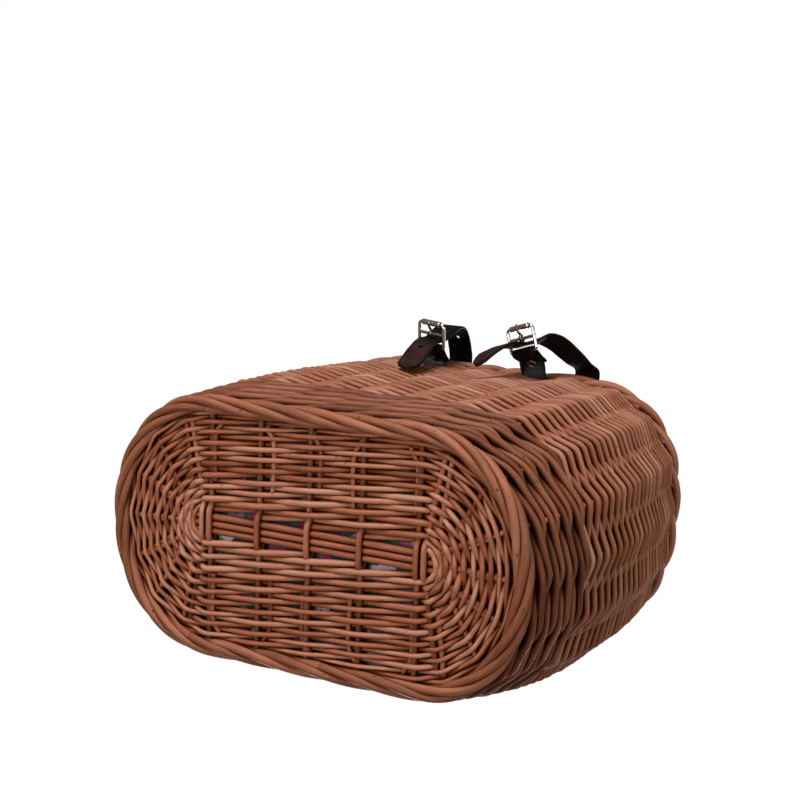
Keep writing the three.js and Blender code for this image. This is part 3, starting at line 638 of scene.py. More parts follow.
# %% Lower wale rods
WALE_FOOT = 14.0
WALE_ROUNDS = 4
WALE_RADIUS = 2.45
WALE_REACH = 3.5
wale_rods = RodBundle()
round_rise = (WALE_TOP - WALE_FOOT) / WALE_ROUNDS
for turn_number in range(WALE_ROUNDS):
    for strand in range(3):
        count = float(chance.integers(0, 8)) * 3 + strand + np.arange(2.0, STAKES + 3.0)
        phase = np.mod(count - strand, 3.0)
        inside = phase > 1.5
        slant = np.where(inside, 0.0, phase - 0.5)
        level = WALE_FOOT + (turn_number + 0.5) * round_rise + slant * round_rise * 0.5
        level = level + slow_wander(count, any_turn(3), 0.35)
        thick = WALE_RADIUS * (1.0 + 0.08 * np.sin(count * 0.4 + any_turn()))
        inset = STAKE_INSET + np.where(inside, WALE_REACH, -WALE_REACH)
        line = kneed(np.c_[wall(stake_share(count, level), level, inset), thick], 0.2)
        # Each rod's tone is drawn at random from a low range, so the wale's darkness is partly
        # painted shade for the deep shade between its rods.
        wale_rods.add(line[:, :3], line[:, 3], chance.uniform(0.0, 0.25))
lower_wale = wale_rods.make("lower_wale_rods", wall_willow, 8)

# %% Upsett rods
UPSETT_HEIGHT = 5.6
UPSETT_INSET = 6.4
UPSETT_STRANDS = 4
UPSETT_PARTS = 3
UPSETT_RADIUS = 2.75
upsett_rods = RodBundle()
for strand in range(UPSETT_STRANDS):
    for part in range(UPSETT_PARTS):
        count = part * 8 + strand + UPSETT_STRANDS / 2 + np.linspace(-0.3, 8.3, 74)
        angle = -2.0 * np.pi * (count - strand) / UPSETT_STRANDS
        level = UPSETT_HEIGHT + 2.9 * np.sin(angle)
        inset = UPSETT_INSET - 3.5 * np.cos(angle)
        thick = UPSETT_RADIUS + 0.15 * np.sin(count * 0.9 + any_turn())
        # Each rod's tone is drawn at random from a low range, so the upsett's darkness is partly
        # painted shade for the deep shade between its rods.
        upsett_rods.add(wall(count / STAKES, level, inset), thick, chance.uniform(0.12, 0.45))
upsett = upsett_rods.make("upsett_rods", wall_willow, 12)

# %% [markdown]
# ## Border
# The tops of the stakes are bent down and rolled along the rim. Each passes out over the rim, up and
# back inside within about three stakes, so three thick rods lie side by side at any place and the
# rim has a coarse twist.

# %% Border rods
BORDER_INSET = 8.4
BORDER_LAY = 3.3
BORDER_TRAVEL = 3.6
BORDER_SPREAD = 4.7
BORDER_RADIUS = 3.15
border_rods = RodBundle()
for stake in range(STAKES):
    travel = np.linspace(0.0, BORDER_TRAVEL, 52)
    angle = -np.pi / 2 + 2.0 * np.pi * travel / BORDER_LAY
    spread = BORDER_SPREAD * np.clip(0.7 + travel, 0, 1)
    level = BORDER_HEIGHT + spread * np.sin(angle)
    inset = BORDER_INSET - spread * np.cos(angle)
    thick = BORDER_RADIUS - 1.2 * np.clip(travel - 2.2, 0, 2) / 1.4
    line = wall(stake_share(stake + travel, level), level, inset)
    foot = wall(stake_share(stake, 242.0), np.array([236.0, 245.0]), STAKE_INSET)
    thick = np.concatenate([[STAKE_RADIUS, 2.4], thick])
    border_rods.add(np.concatenate([foot, line]), thick, chance.uniform(0.25, 0.8))
rim_border = border_rods.make("rim_border_rods", wall_willow, 10)

# %% [markdown]
# ## Base
# Three long sticks pass through slits in the cross sticks, and the weaving goes round and round this
# slath. Each stake has its butt pushed in beside a stick. Paths for the rows come from a map of the
# base: straight lanes along the sides and fans at the two ends.

# %% Base map
SLATH = 1.8 + BACK_SHIFT
STICK_HEIGHT = 6.9
STICK_PLACES = [80.6, 75.3, 38.6, 2.0, -35.6, -75.3, -80.6]
STICK_PITCH = 4.7
STICK_BEND = 86.0
SPOKE_PLACES = np.array([77.5, 38.6, 2.0, -35.6, -77.5])
FAN_CENTRE = 78.0
ROW_START = 8.7
TURN_INSET = 15.7
base_edge = wall(np.linspace(0.0, 1.0, 2401), STICK_HEIGHT, 12.6)


def edge_at_x(x, side):
    """How far the base reaches at one place along it, on the back (+1) or front (-1)."""
    chosen = base_edge[np.sign(base_edge[:, 1] - SLATH) == side]
    order = np.argsort(chosen[:, 0])
    return np.interp(x, chosen[order, 0], chosen[order, 1])


def edge_on_ray(angle, end):
    """Distance from a fan's centre to the edge of the base."""
    offset = base_edge[:, :2] - (end * FAN_CENTRE, SLATH)
    bearing = np.arctan2(offset[:, 1], end * offset[:, 0])
    near = np.abs(bearing) < 1.65
    order = np.argsort(bearing[near])
    return np.interp(angle, bearing[near][order], np.linalg.norm(offset, axis=1)[near][order])


def base_place(station, share):
    """Station 0-1 runs along the back, 1-2 round the -X end, 2-3 along the front, 3-4 round +X."""
    station = np.mod(station, 4.0)
    lane = np.floor(station).astype(int)
    part = station - lane
    x = np.where(lane == 0, FAN_CENTRE * (1 - 2 * part), FAN_CENTRE * (2 * part - 1))
    side = np.where(lane == 0, 1.0, -1.0)
    reach = np.where(side > 0, edge_at_x(x, 1.0), edge_at_x(x, -1.0)) - SLATH
    begin = side * ROW_START
    straight = np.stack([x, SLATH + begin + (reach - begin) * share], axis=-1)
    end = np.where(lane == 1, -1.0, 1.0)
    angle = np.where(lane == 1, np.pi * (0.5 - part), np.pi * (part - 0.5))
    far = np.where(end < 0, edge_on_ray(angle, -1.0), edge_on_ray(angle, 1.0))
    distance = ROW_START + (far - ROW_START) * share
    fan = np.stack(
        [end * (FAN_CENTRE + distance * np.cos(angle)), SLATH + distance * np.sin(angle)], axis=-1
    )
    return np.where((lane % 2 == 0)[..., None], straight, fan)


end_heels = wall(np.arange(-3, 4) / STAKES, STICK_HEIGHT, TURN_INSET)
end_bearings = np.arctan2(end_heels[:, 1] - SLATH, end_heels[:, 0] - FAN_CENTRE) / np.pi
along_back = 0.5 - SPOKE_PLACES / (2 * FAN_CENTRE)
spoke_knots = np.sort(
    np.concatenate([along_back, 1.5 + end_bearings, 2 + (1 - along_back), 3.5 + end_bearings])
)
print("spokes that a base rod passes in one round:", len(spoke_knots))

# %% [markdown]
# Ten rods start along the slath, a little apart, and all wind outward together, so the rows lie at a
# slight angle to the sticks and wedges stay open beside the slath. Most of the outward drift is on
# the straight sides. Two closing rounds lie behind the upsett.

# %% Base weave rods
RODS_AT_ONCE = 10
DRIFT = 0.28
ROUNDS = 4
CLOSING_POINTS = 240
CLOSING_RADIUS = 2.0
base_rods = RodBundle()


def outward(station):
    """How far a winding rod has drifted, one for each half round."""
    lane = np.floor(station)
    part = station - lane
    return np.floor(lane / 2) + np.where(lane % 2 == 0, 0.8 * part, 0.8 + 0.2 * part)


for rod in range(RODS_AT_ONCE):
    start = 2.0 * rod / RODS_AT_ONCE
    order = np.arange(0, ROUNDS * len(spoke_knots))
    station = spoke_knots[order % len(spoke_knots)] + 4.0 * (order // len(spoke_knots))
    share = (outward(station) - start) * DRIFT
    share = share * (1.13 - 0.13 * share)
    kept = (share > -0.012) & (share < 1.1)
    order, station, share = order[kept], station[kept], np.maximum(share[kept], 0.0)
    share = share + slow_wander(order * 1.5, any_turn(3), 0.012)
    side = np.where((order + rod) % 2 == 0, 1.0, -1.0)
    thick = (2.12 - 0.6 * share) * (1.0 + 0.1 * np.sin(order * 0.8 + any_turn()))
    flat = base_place(station, share)
    from_centre = np.hypot(np.abs(flat[:, 0]) - FAN_CENTRE, flat[:, 1] - SLATH)
    in_fan = np.floor(station).astype(int) % 2 == 1
    wave = np.where(in_fan, np.clip((from_centre - 9.0) / 22.0, 0.08, 1.0), 1.0)
    level = STICK_HEIGHT - 1.5 * (1 - wave) - (STAKE_RADIUS + thick) * 0.8 * side * wave
    level = level + np.clip(share - 1.0, 0.0, 1.0) * 35.0
    level[0] = STICK_HEIGHT + 1.0
    line = kneed(np.c_[flat, level, thick], 0.16)
    for part in np.array_split(np.arange(len(line)), 3):
        grown = np.arange(max(part[0] - 2, 0), min(part[-1] + 3, len(line)))
        base_rods.add(line[grown, :3], line[grown, 3], chance.uniform(0.15, 0.9))
closing = np.linspace(0.0, 4.0, CLOSING_POINTS, endpoint=False)
for share, rise in ((0.99, 3.0), (1.06, 5.2)):
    flat = base_place(closing, np.full(CLOSING_POINTS, share))
    line = np.c_[flat, np.full(CLOSING_POINTS, STICK_HEIGHT + rise)]
    base_rods.add(line, CLOSING_RADIUS, 0.3, ring=True)
base_weave = base_rods.make("base_weave_rods", base_willow, 8)

# %% Base sticks
SLIT_END = 14.0
SPLAY_FROM = 12.0
SPLAY_STAKE = 3.16
CROSS_RADIUS = 2.1
LONG_RADIUS = 2.2
stick_rods = RodBundle()
for x in STICK_PLACES:
    back_end, front_end = edge_at_x(x, 1.0) - SLATH, edge_at_x(x, -1.0) - SLATH
    front_part, back_part = np.linspace(front_end, -SLIT_END, 8), np.linspace(SLIT_END, back_end, 8)
    y = np.concatenate([front_part, np.linspace(-12.0, 12.0, 11), back_part])
    for half in (-1, 1):
        part = np.clip((SLIT_END - np.abs(y)) / 6.0, 0.0, 1.0)
        opened = part * part * (3 - 2 * part)
        level = STICK_HEIGHT + half * 3.3 * opened
        line = np.stack([np.full_like(y, x), SLATH + y, level], axis=-1)
        for corner in (1, -1) if abs(x) > 80.0 else ():
            past = y * corner > 13.0
            turn = SPLAY_STAKE * corner / STAKES
            foot = wall(turn if x > 0 else 0.5 - turn, STICK_HEIGHT, 17.0)
            near = np.array([x, SLATH + SPLAY_FROM * corner, STICK_HEIGHT])
            out = np.abs(y[past]) - SPLAY_FROM
            line[past] = near + (foot - near) * (out / out.max())[:, None]
        stick_rods.add(line, CROSS_RADIUS - 0.15 * opened, chance.uniform(0.1, 0.8))
for place in (-1, 0, 1):
    ends = [wall(share, STICK_HEIGHT, 24.0) for share in (0.5 - place / STAKES, place / STAKES)]
    y = SLATH + place * STICK_PITCH
    inner = [np.array([x, y, STICK_HEIGHT]) for x in (-STICK_BEND, STICK_BEND)]
    line = np.concatenate(
        [
            np.linspace(ends[0], inner[0], 8)[:-1],
            np.linspace(inner[0], inner[1], 24)[:-1],
            np.linspace(inner[1], ends[1], 8),
        ]
    )
    stick_rods.add(line, LONG_RADIUS, chance.uniform(0.2, 0.6))
base_sticks = stick_rods.make("base_sticks", base_willow, 12)


# %% Stakes
def smooth_line(points, per_span=6):
    """A smooth curve through points, by the centripetal Catmull-Rom rule."""
    points = np.asarray(points, float)
    padded = np.concatenate([[2 * points[0] - points[1]], points, [2 * points[-1] - points[-2]]])
    made = []
    for i in range(1, len(padded) - 2):
        p0, p1, p2, p3 = padded[i - 1 : i + 3]
        pairs = (p0, p1), (p1, p2), (p2, p3)
        d0, d1, d2 = (max(np.linalg.norm(b - a) ** 0.5, 1e-4) for a, b in pairs)
        m1 = ((p1 - p0) / d0 - (p2 - p0) / (d0 + d1) + (p2 - p1) / d1) * d1
        m2 = ((p2 - p1) / d1 - (p3 - p1) / (d1 + d2) + (p3 - p2) / d2) * d1
        last = i == len(padded) - 3
        for t in np.arange(per_span + (1 if last else 0)) / per_span:
            a = 2 * t ** 3 - 3 * t ** 2 + 1
            b = t ** 3 - 2 * t ** 2 + t
            c = -2 * t ** 3 + 3 * t ** 2
            made.append(a * p1 + b * m1 + c * p2 + (t ** 3 - t ** 2) * m2)
    return np.array(made)


BUTTS = [26, 30, 38, 42, 40, 42, 38, 43, 40, 42, 38, 30]
BESIDE = [0.9, 0, 0, 0, 4.6, -4.6, -4.6, 4.6, -4.6, 0, 0, 0]
KNEE = ((0.1, 3.0), (-1.6, 6.4), (-5.4, 9.6))
STAKE_HEIGHTS = (22.0, 43.8, 73.6, 115.0, 170.0, 205.0, 240.0, 247.0)
stake_rods = RodBundle()
for stake in range(STAKES):
    heel = wall(stake / STAKES, STICK_HEIGHT, TURN_INSET)
    place = stake % 12
    end = 1 if stake < 6 or stake > 18 else -1
    inward = np.array([0.0, -np.sign(heel[1] - BACK_SHIFT), 0.0])
    if place < 4 or place > 8:
        inward = unit([end * STICK_BEND - heel[0], SLATH - heel[1], 0.0])
    if place == 0:
        inward = np.array([-end, 0.0, 0.0])
    aside = np.array([-inward[1], inward[0], 0.0]) * BESIDE[place] * (end if place == 0 else 1)
    knee_run = min(9.3, BUTTS[place] * 0.6)
    points = [heel + inward * run + aside for run in (BUTTS[place], knee_run)]
    points.append(heel + inward * 2.0)
    for inset, rise in KNEE:
        points.append(wall(stake / STAKES, STICK_HEIGHT + rise, TURN_INSET + inset))
    for z in STAKE_HEIGHTS:
        points.append(wall(stake_share(stake, z), z, STAKE_INSET))
    stake_rods.add(smooth_line(points, 4), STAKE_RADIUS, chance.uniform(0.1, 0.7))
stakes = stake_rods.make("stakes", base_willow, 8)

# %% [markdown]
# ## Cotton liner
# A sewn cotton bag hangs inside from just under the border and lies loosely on the base. It is one
# sheet: a turned hem, a wall with soft upright folds, a rounded corner and a floor. Modelling it by
# rings keeps every fold clear of the rods. The print is a repeat of small five-petalled flowers and
# leaves on teal, drawn by cells: each cell's middle gives a polar angle for the petals.

# %% Liner sheet
LINER_INSET = 12.2
LINER_GIRTH = 0.84
LINER_THICKNESS = 0.0006
COLUMNS = 288
FLOOR_SHRINKS = (0.85, 0.68, 0.5, 0.32, 0.14)
hem_rings = [(230.0, 2.0), (236.6, 2.0), (238.0, 1.1), (236.8, 0.0), (234.0, 0.0)]
liner_rings = [(z, extra, 1.0) for z, extra in hem_rings]
liner_rings += [(z, 0.0, 1.0) for z in np.linspace(226.0, 26.0, 26)]
liner_rings += [(20.0, 1.0, 0.7), (16.2, 3.0, 0.4), (14.2, 6.5, 0.2), (13.6, 12.0, 0.1)]
columns = np.arange(COLUMNS) / COLUMNS
around = 2 * np.pi * columns
sheet_points, sheet_uv = [], []
for z, extra, slack in liner_rings:
    folds = 0.9 * (0.5 + 0.5 * np.sin(23 * around + 2.2 * np.sin(3 * around) + z * 0.011))
    folds += 0.6 * (0.5 + 0.5 * np.sin(41 * around + 1.3 + z * 0.02))
    level = z + 0.8 * slack * np.sin(9 * around + 0.6) * min(1.0, z / 200.0)
    sheet_points.extend(wall(columns, level, LINER_INSET + extra + folds * slack) * MM)
    sheet_uv.extend(zip(columns * LINER_GIRTH, level * MM))
floor_edge = np.array(sheet_points[-COLUMNS:])
floor_middle = np.array([0.0, BACK_SHIFT * MM, floor_edge[0, 2]])
for shrink in FLOOR_SHRINKS:
    ring = floor_middle + (floor_edge - floor_middle) * shrink
    ring[:, 2] += 0.0006 * np.sin(ring[:, 0] * 90.0 + 1.0) * np.sin(ring[:, 1] * 70.0) + 0.0004
    sheet_points.extend(ring)
    sheet_uv.extend((LINER_GIRTH / 2 + p[0], -0.12 + p[1]) for p in ring)
sheet_points.append(floor_middle + (0.0, 0.0, 0.0004))
sheet_uv.append((LINER_GIRTH / 2, -0.12))
ring_count = len(liner_rings) + len(FLOOR_SHRINKS)
sheet_faces = tube_faces(ring_count, COLUMNS)
last = (ring_count - 1) * COLUMNS
sheet_faces.extend((last + i, last + COLUMNS, last + (i + 1) % COLUMNS) for i in range(COLUMNS))
liner = add_mesh("liner_cloth", sheet_points, [], sheet_faces)
corner_points = [loop.vertex_index for loop in liner.data.loops]
layer = liner.data.uv_layers.new(name="UVMap")
for face in liner.data.polygons:
    wraps = any(corner_points[i] % COLUMNS == COLUMNS - 1 for i in face.loop_indices)
    for i in face.loop_indices:
        u, v = sheet_uv[corner_points[i]]
        seam = wraps and u < 0.01 and face.index < (len(liner_rings) - 1) * COLUMNS
        layer.data[i].uv = (u + LINER_GIRTH if seam else u, v)
    face.use_smooth = True
thickness = liner.modifiers.new("cloth thickness", "SOLIDIFY")
thickness.thickness = LINER_THICKNESS
thickness.offset = 0.0


# %% Printed cotton
def printed_cotton():
    material, tree, shader = fresh_material("printed_cotton")
    place = read(tree, "ShaderNodeTexCoord", "UV")

    def cell_polar(scale, randomness):
        """Angle and distance from the middle of a cell, and a number of the cell's own."""
        cells = add_node(
            tree, "ShaderNodeTexVoronoi", Vector=place, Scale=scale, Randomness=randomness
        )
        cells.voronoi_dimensions = "2D"
        away = vector_sum(tree, "SUBTRACT", 0, place, cells.outputs["Position"])
        parts = add_node(tree, "ShaderNodeSeparateXYZ", Vector=away)
        luck = add_node(tree, "ShaderNodeSeparateXYZ", Vector=cells.outputs["Color"])
        angle = Value(tree, parts.outputs["Y"]).then("ARCTAN2", parts.outputs["X"])
        turned = angle + Value(tree, luck.outputs["X"]) * 6.283
        return turned, Value(tree, cells.outputs["Distance"]), luck.outputs["Y"]

    angle, distance, luck = cell_polar(38.0, 0.85)
    reach = (angle * 5.0).then("COSINE") * 0.09 + 0.30
    petals = ramp(tree, reach - distance, (0.0, 0.0), (0.03, 1.0))
    heart = ramp(tree, distance, (0.07, 1.0), (0.10, 0.0))
    leaf_angle, leaf_distance, leaf_luck = cell_polar(57.0, 1.0)
    leaf_reach = leaf_angle.then("COSINE").then("ABSOLUTE") * 0.46
    leaves = ramp(tree, leaf_reach - leaf_distance, (0.05, 0.0), (0.08, 1.0))
    mottle = noise(tree, place, Scale=60.0, Detail=3.0)
    ground = ramp(tree, mottle, (0.3, (0.020, 0.056, 0.062)), (0.7, (0.050, 0.112, 0.118)))
    leaf_colour = ramp(tree, leaf_luck, (0.2, (0.04, 0.11, 0.07)), (0.8, (0.10, 0.19, 0.11)))
    petal_colour = ramp(
        tree,
        luck,
        (0.25, (0.24, 0.012, 0.060)),
        (0.5, (0.44, 0.40, 0.52)),
        (0.75, (0.30, 0.030, 0.10)),
        (0.9, (0.60, 0.57, 0.63)),
    )
    colour = mix_colour(tree, leaves, ground, leaf_colour)
    colour = mix_colour(tree, petals, colour, petal_colour)
    colour = mix_colour(tree, heart, colour, (0.45, 0.33, 0.12))
    # Painted shade: the print turns near black where the cloth is shut in behind the rods.
    colour = mix_colour(tree, painted_hollow_shade(tree, 0.006), colour, (0.004, 0.008, 0.009))
    threads = []
    for direction in ("X", "Y"):
        band = add_node(
            tree, "ShaderNodeTexWave", Vector=place, Scale=420.0, Distortion=0.6, Detail=1.0
        )
        band.bands_direction = direction
        threads.append(Value(tree, band.outputs["Fac"]))
    cloth = threads[0] * threads[1]
    shader.inputs["Sheen Weight"].default_value = 0.15
    shader.inputs["Specular IOR Level"].default_value = 0.2
    dress(tree, shader, cloth, 0.3, 0.0002, Base_Color=colour, Roughness=0.85)
    return material


liner.data.materials.append(printed_cotton())
made_plain(liner)
print("liner has", len(liner.data.polygons), "faces")

# %% [markdown]
# ## Straps
# Each strap is one length of bridle leather, 19 mm wide and 2 mm thick. It is folded round the heel
# bar of its buckle and riveted, goes in through the wall under the border, up inside, out over the
# rim, and back down through the buckle as the free tail. Its middle line is a smooth curve through
# stations, each with its own width direction, and a section with rounded edges is carried along it.
# Cutters make the punched holes.

# %% Strap path
BORDER_AXIS = np.array([0.0, 75.433 + BACK_SHIFT, BORDER_HEIGHT])
SWING_RADIUS = 10.1
STRAP_HALF_WIDTH = 9.5
STRAP_HALF_THICKNESS = 0.95
HEEL = -10.0
FRONT_BAR = 7.8
CHAPE_LAP = 14.0
LAP_OFF, NECK, NECK_OFF = 1.15, 5.5, 1.38
FOLD_RADIUS = 2.5
RIVET_PLACE = 10.0
PER_STATION = 6
ALONG_RIM = np.array([-1.0, 0.0, 0.0])


def from_border(place):
    return BORDER_AXIS + np.asarray(place, float)


class BuckleSeat:
    """A buckle's own axes: width along its bars, up from heel bar to front bar, face outward."""

    def __init__(self, centre, width, up):
        self.centre = from_border(centre)
        self.width = unit(width)
        up = np.asarray(up, float)
        self.up = unit(up - self.width * (up @ self.width))
        self.face = np.cross(self.width, self.up)

    def spot(self, w, l, n):
        across, along = np.multiply.outer(w, self.width), np.multiply.outer(l, self.up)
        return self.centre + across + along + np.multiply.outer(n, self.face)


class Chape:
    """The folded end of a strap between the heel bar and the wall."""

    def __init__(self, seat, foot):
        self.heel = seat.spot(0.0, HEEL, 0.0)
        down = from_border(foot) - self.heel
        self.down = unit(down - seat.width * (down @ seat.width))
        self.front = np.cross(self.down, seat.width)

    def spot(self, along, off):
        return self.heel + along * self.down + off * self.front


def strap_stations(seat, chape, foot, arc, loop, tail):
    places, widths = [], []

    def through(place, width):
        places.append(np.asarray(place, float))
        widths.append(np.asarray(width, float))

    for along, off in ((CHAPE_LAP, -LAP_OFF), (CHAPE_LAP * 0.6, -LAP_OFF), (NECK, -NECK_OFF)):
        through(chape.spot(along, off), seat.width)
    for i in range(7):
        turn = -1.25 - (i / 6) * (2 * math.pi - 2.5)
        fold = chape.spot(FOLD_RADIUS * math.cos(turn), FOLD_RADIUS * math.sin(turn))
        through(fold, seat.width)
    for along, off in ((NECK, NECK_OFF), (CHAPE_LAP * 0.6, LAP_OFF)):
        through(chape.spot(along, off), seat.width)
    through(from_border(foot), seat.width * 0.3 + ALONG_RIM * 0.7)
    for i in range(8):
        turn = -2.25 - (i / 7) * 2.1
        x = arc[0] + (arc[1] - arc[0]) * i / 7
        round_rim = (x, SWING_RADIUS * math.cos(turn), SWING_RADIUS * math.sin(turn))
        through(from_border(round_rim), ALONG_RIM)
    for place, width in loop:
        through(from_border(place), width)
    for n in (-4.0, 0.0, 3.5):
        through(seat.spot(0.0, -4.7, n), seat.width)
    for place in tail:
        through(from_border(place), seat.width)
    return np.array(places), np.array(widths)


# %% Strap band
def strap_frames(places, widths):
    middle = smooth_line(places, PER_STATION)
    along = unit(np.gradient(middle, axis=0))
    steps = np.arange(len(middle)) / PER_STATION
    stations = np.arange(len(widths))
    width = np.stack([np.interp(steps, stations, widths[:, i]) for i in range(3)], axis=1)
    width = unit(width - along * np.sum(width * along, axis=1, keepdims=True))
    return middle, width, np.cross(width, along)


def strap_section():
    """Half a turn of the section: place across (-1 to 1) and share of the thickness."""
    across = np.array([0.2, 0.6, 0.88, 0.945, 0.985, 1.0])
    thick = np.array([1.0, 0.98, 0.95, 0.86, 0.62, 0.25])
    across, thick = np.concatenate([-across[::-1], across]), np.concatenate([thick[::-1], thick])
    return np.concatenate([across, across[::-1]]), np.concatenate([thick, -thick[::-1]])


def leather_strap(name, frames, finish):
    middle, width, face = frames
    run = runs_along(middle)
    left = run[-1] - run
    tail_runs, tail_widths = [0.0, 1.2, 3.5, 7.0, 10.5, 14.0], [0.30, 0.46, 0.67, 0.87, 0.965, 1.0]
    narrow = np.interp(left, tail_runs, tail_widths)
    across, thick = strap_section()
    rows, count = len(middle), len(across)
    wavy = 1.0 + 0.006 * np.sin(run * 0.9) + 0.004 * np.sin(run * 2.3 + 1.0)
    half = STRAP_HALF_WIDTH * narrow * wavy
    points = (
        middle[:, None]
        + width[:, None] * (half[:, None] * across[None])[..., None]
        + face[:, None] * (STRAP_HALF_THICKNESS * thick)[None, :, None]
    )
    ends = [tuple(range(count)), tuple((rows - 1) * count + i for i in reversed(range(count)))]
    piece = add_mesh(name, points.reshape(-1, 3) * MM, [], tube_faces(rows, count) + ends)
    values = {
        "strap_run": np.repeat(run * MM, count),
        "strap_share": np.repeat(run / run[-1], count),
        "strap_across": np.tile(across, rows),
        "strap_side": np.tile(thick, rows),
    }
    add_values(piece.data, values)
    piece.data.materials.append(finish)
    for polygon in piece.data.polygons:
        polygon.use_smooth = len(polygon.vertices) == 4
    return piece


def punch(piece, centre, axis, radius, sides=24, depth=2.2):
    """A round hole through the strap."""
    side = unit(np.cross(axis, ALONG_RIM + (0.1, 0.3, 0.0)))
    other = np.cross(axis, side)
    turn = np.linspace(0.0, 2 * np.pi, sides + 1)[:-1]
    ring = centre + radius * (np.cos(turn)[:, None] * side + np.sin(turn)[:, None] * other)
    points = np.concatenate([ring - axis * depth, ring + axis * depth]) * MM
    faces = [(i, (i + 1) % sides, sides + (i + 1) % sides, sides + i) for i in range(sides)]
    faces += [tuple(reversed(range(sides))), tuple(range(sides, 2 * sides))]
    cutter = add_mesh("punch", points, [], faces)
    hole = piece.modifiers.new("hole", "BOOLEAN")
    hole.object = cutter
    hole.operation = "DIFFERENCE"
    hole.solver = "EXACT"
    bpy.context.view_layer.update()
    made_plain(piece)
    bpy.data.objects.remove(cutter)


# %% Leather
def strap_leather():
    material, tree, shader = fresh_material("strap_leather")
    parts = ("run", "across", "side", "share")
    run, across, side, share = (from_attribute(tree, "strap_" + part) for part in parts)
    place = read(tree, "ShaderNodeCombineXYZ", 0, X=run, Y=across * 0.0095, Z=side * 0.002)
    pores = read(tree, "ShaderNodeTexVoronoi", "Distance", Vector=place, Scale=1100.0)
    creases = noise(tree, place, Scale=420.0, Detail=4.0, Roughness=0.6)
    wear = noise(tree, place, Scale=90.0, Detail=4.0, Roughness=0.65)
    colour = ramp(
        tree,
        ramp(tree, share, (0.70, 0.05), (0.82, 1.0)) * wear,
        (0.0, (0.0055, 0.0028, 0.0022)),
        (0.3, (0.013, 0.0058, 0.0038)),
        (0.55, (0.040, 0.0150, 0.0090)),
        (0.8, (0.066, 0.027, 0.017)),
    )
    edge = ramp(tree, across.then("ABSOLUTE"), (0.78, 0.0), (0.95, 1.0))
    colour = mix_colour(tree, edge, colour, (0.006, 0.003, 0.0025))
    gloss = ramp(tree, creases, (0.3, 0.54), (0.7, 0.74))
    relief = pores * 0.6 + creases
    shader.inputs["Specular IOR Level"].default_value = 0.12
    dress(tree, shader, relief, 0.5, 0.00025, Base_Color=colour, Roughness=gloss)
    return material


leather = strap_leather()
print("leather:", leather.name)

# %% Strap pieces
HOLE_RADIUS = 1.6
left_seat = BuckleSeat((35.8, 31.3, -34.4), (-0.964, -0.047, -0.261), (-0.02, 0.994, -0.107))
right_seat = BuckleSeat((-36.0, 34.6, -34.0), (-0.911, 0.309, -0.274), (0.3, 0.952, 0.075))
left_foot = (41.5, 8.5, -19.5)
right_foot = (-39.4, 8.5, -18.5)
left_loop = [
    ((35.0, 8.0, 12.5), ALONG_RIM),
    ((35.8, 16.2, 12.0), ALONG_RIM),
    ((36.5, 24.5, 9.5), ALONG_RIM),
    ((36.2, 30.8, 4.0), ALONG_RIM),
    ((35.0, 33.8, -4.5), ALONG_RIM),
    ((34.6, 32.8, -14.0), ALONG_RIM),
    ((34.4, 29.8, -23.0), ALONG_RIM),
]
left_tail = [
    (35.5, 22.6, -50.4),
    (33.0, 18.8, -63.0),
    (30.4, 15.9, -73.5),
    (28.4, 14.3, -80.5),
    (26.6, 13.3, -86.5),
]
right_loop = [
    ((-68.5, 9.0, 11.0), ALONG_RIM),
    ((-66.0, 16.0, 1.2), ALONG_RIM),
    ((-60.5, 23.4, -5.9), (-0.95, 0.2, -0.1)),
    ((-53.0, 31.0, -12.7), (-0.85, 0.4, -0.2)),
    ((-46.0, 33.6, -18.4), (-0.85, 0.42, -0.28)),
    ((-41.0, 32.2, -25.0), (-0.9, 0.35, -0.28)),
]
right_tail = [
    (-31.5, 31.2, -51.5),
    (-27.3, 28.2, -60.0),
    (-23.7, 24.8, -64.8),
    (-20.5, 21.4, -67.5),
    (-17.4, 18.0, -69.6),
]
left_chape = Chape(left_seat, left_foot)
right_chape = Chape(right_seat, right_foot)
straps = {}
for side, seat, chape, foot, arc, loop, tail, holes in (
    ("left", left_seat, left_chape, left_foot, (40.0, 35.0), left_loop, left_tail, (23, 31)),
    ("right", right_seat, right_chape, right_foot, (-41.0, -66.0), right_loop, right_tail, (22, 30)),
):
    frames = strap_frames(*strap_stations(seat, chape, foot, arc, loop, tail))
    strap = leather_strap(f"strap_{side}_leather", frames, leather)
    for hole in holes:
        at = hole * PER_STATION
        punch(strap, frames[0][at], frames[2][at], HOLE_RADIUS)
    straps[side] = strap
    print(strap.name, "has", len(strap.data.polygons), "faces")

# %% [markdown]
# ## Buckles and rivets
# The frame is bent from one nickel-plated wire into a ring with rounded corners, with a bar across
# its middle for the prong, and the rod tree makes both. A loose roller turns on the front bar. The
# prong is a bronze tongue rolled round the middle bar at one end. Turned pieces, such as the roller
# and the rivet, come from a profile spun round an axis.


# %% Metals
def metal_finish(name, dull, bright, rough_low, rough_high):
    material, tree, shader = fresh_material(name)
    place = read(tree, "ShaderNodeTexCoord", "Object")
    tarnish = noise(tree, place, Scale=260.0, Detail=4.0, Roughness=0.6)
    scratch = noise(tree, place, Scale=1500.0, Detail=2.0)
    colour = ramp(tree, tarnish, (0.3, dull), (0.6, bright))
    rough = ramp(tree, tarnish, (0.35, rough_high), (0.65, rough_low))
    dress(tree, shader, scratch, 0.12, 0.0001, Base_Color=colour, Roughness=rough, Metallic=1.0)
    return material


nickel = metal_finish("buckle_nickel", (0.50, 0.48, 0.45), (0.80, 0.79, 0.76), 0.14, 0.32)
bronze = metal_finish("aged_bronze", (0.12, 0.085, 0.062), (0.36, 0.275, 0.205), 0.22, 0.4)
print("metals:", nickel.name, bronze.name)


# %% Turned metal
def smooth_metal(piece, finish):
    piece.data.polygons.foreach_set("use_smooth", [True] * len(piece.data.polygons))
    piece.data.materials.append(finish)
    return piece


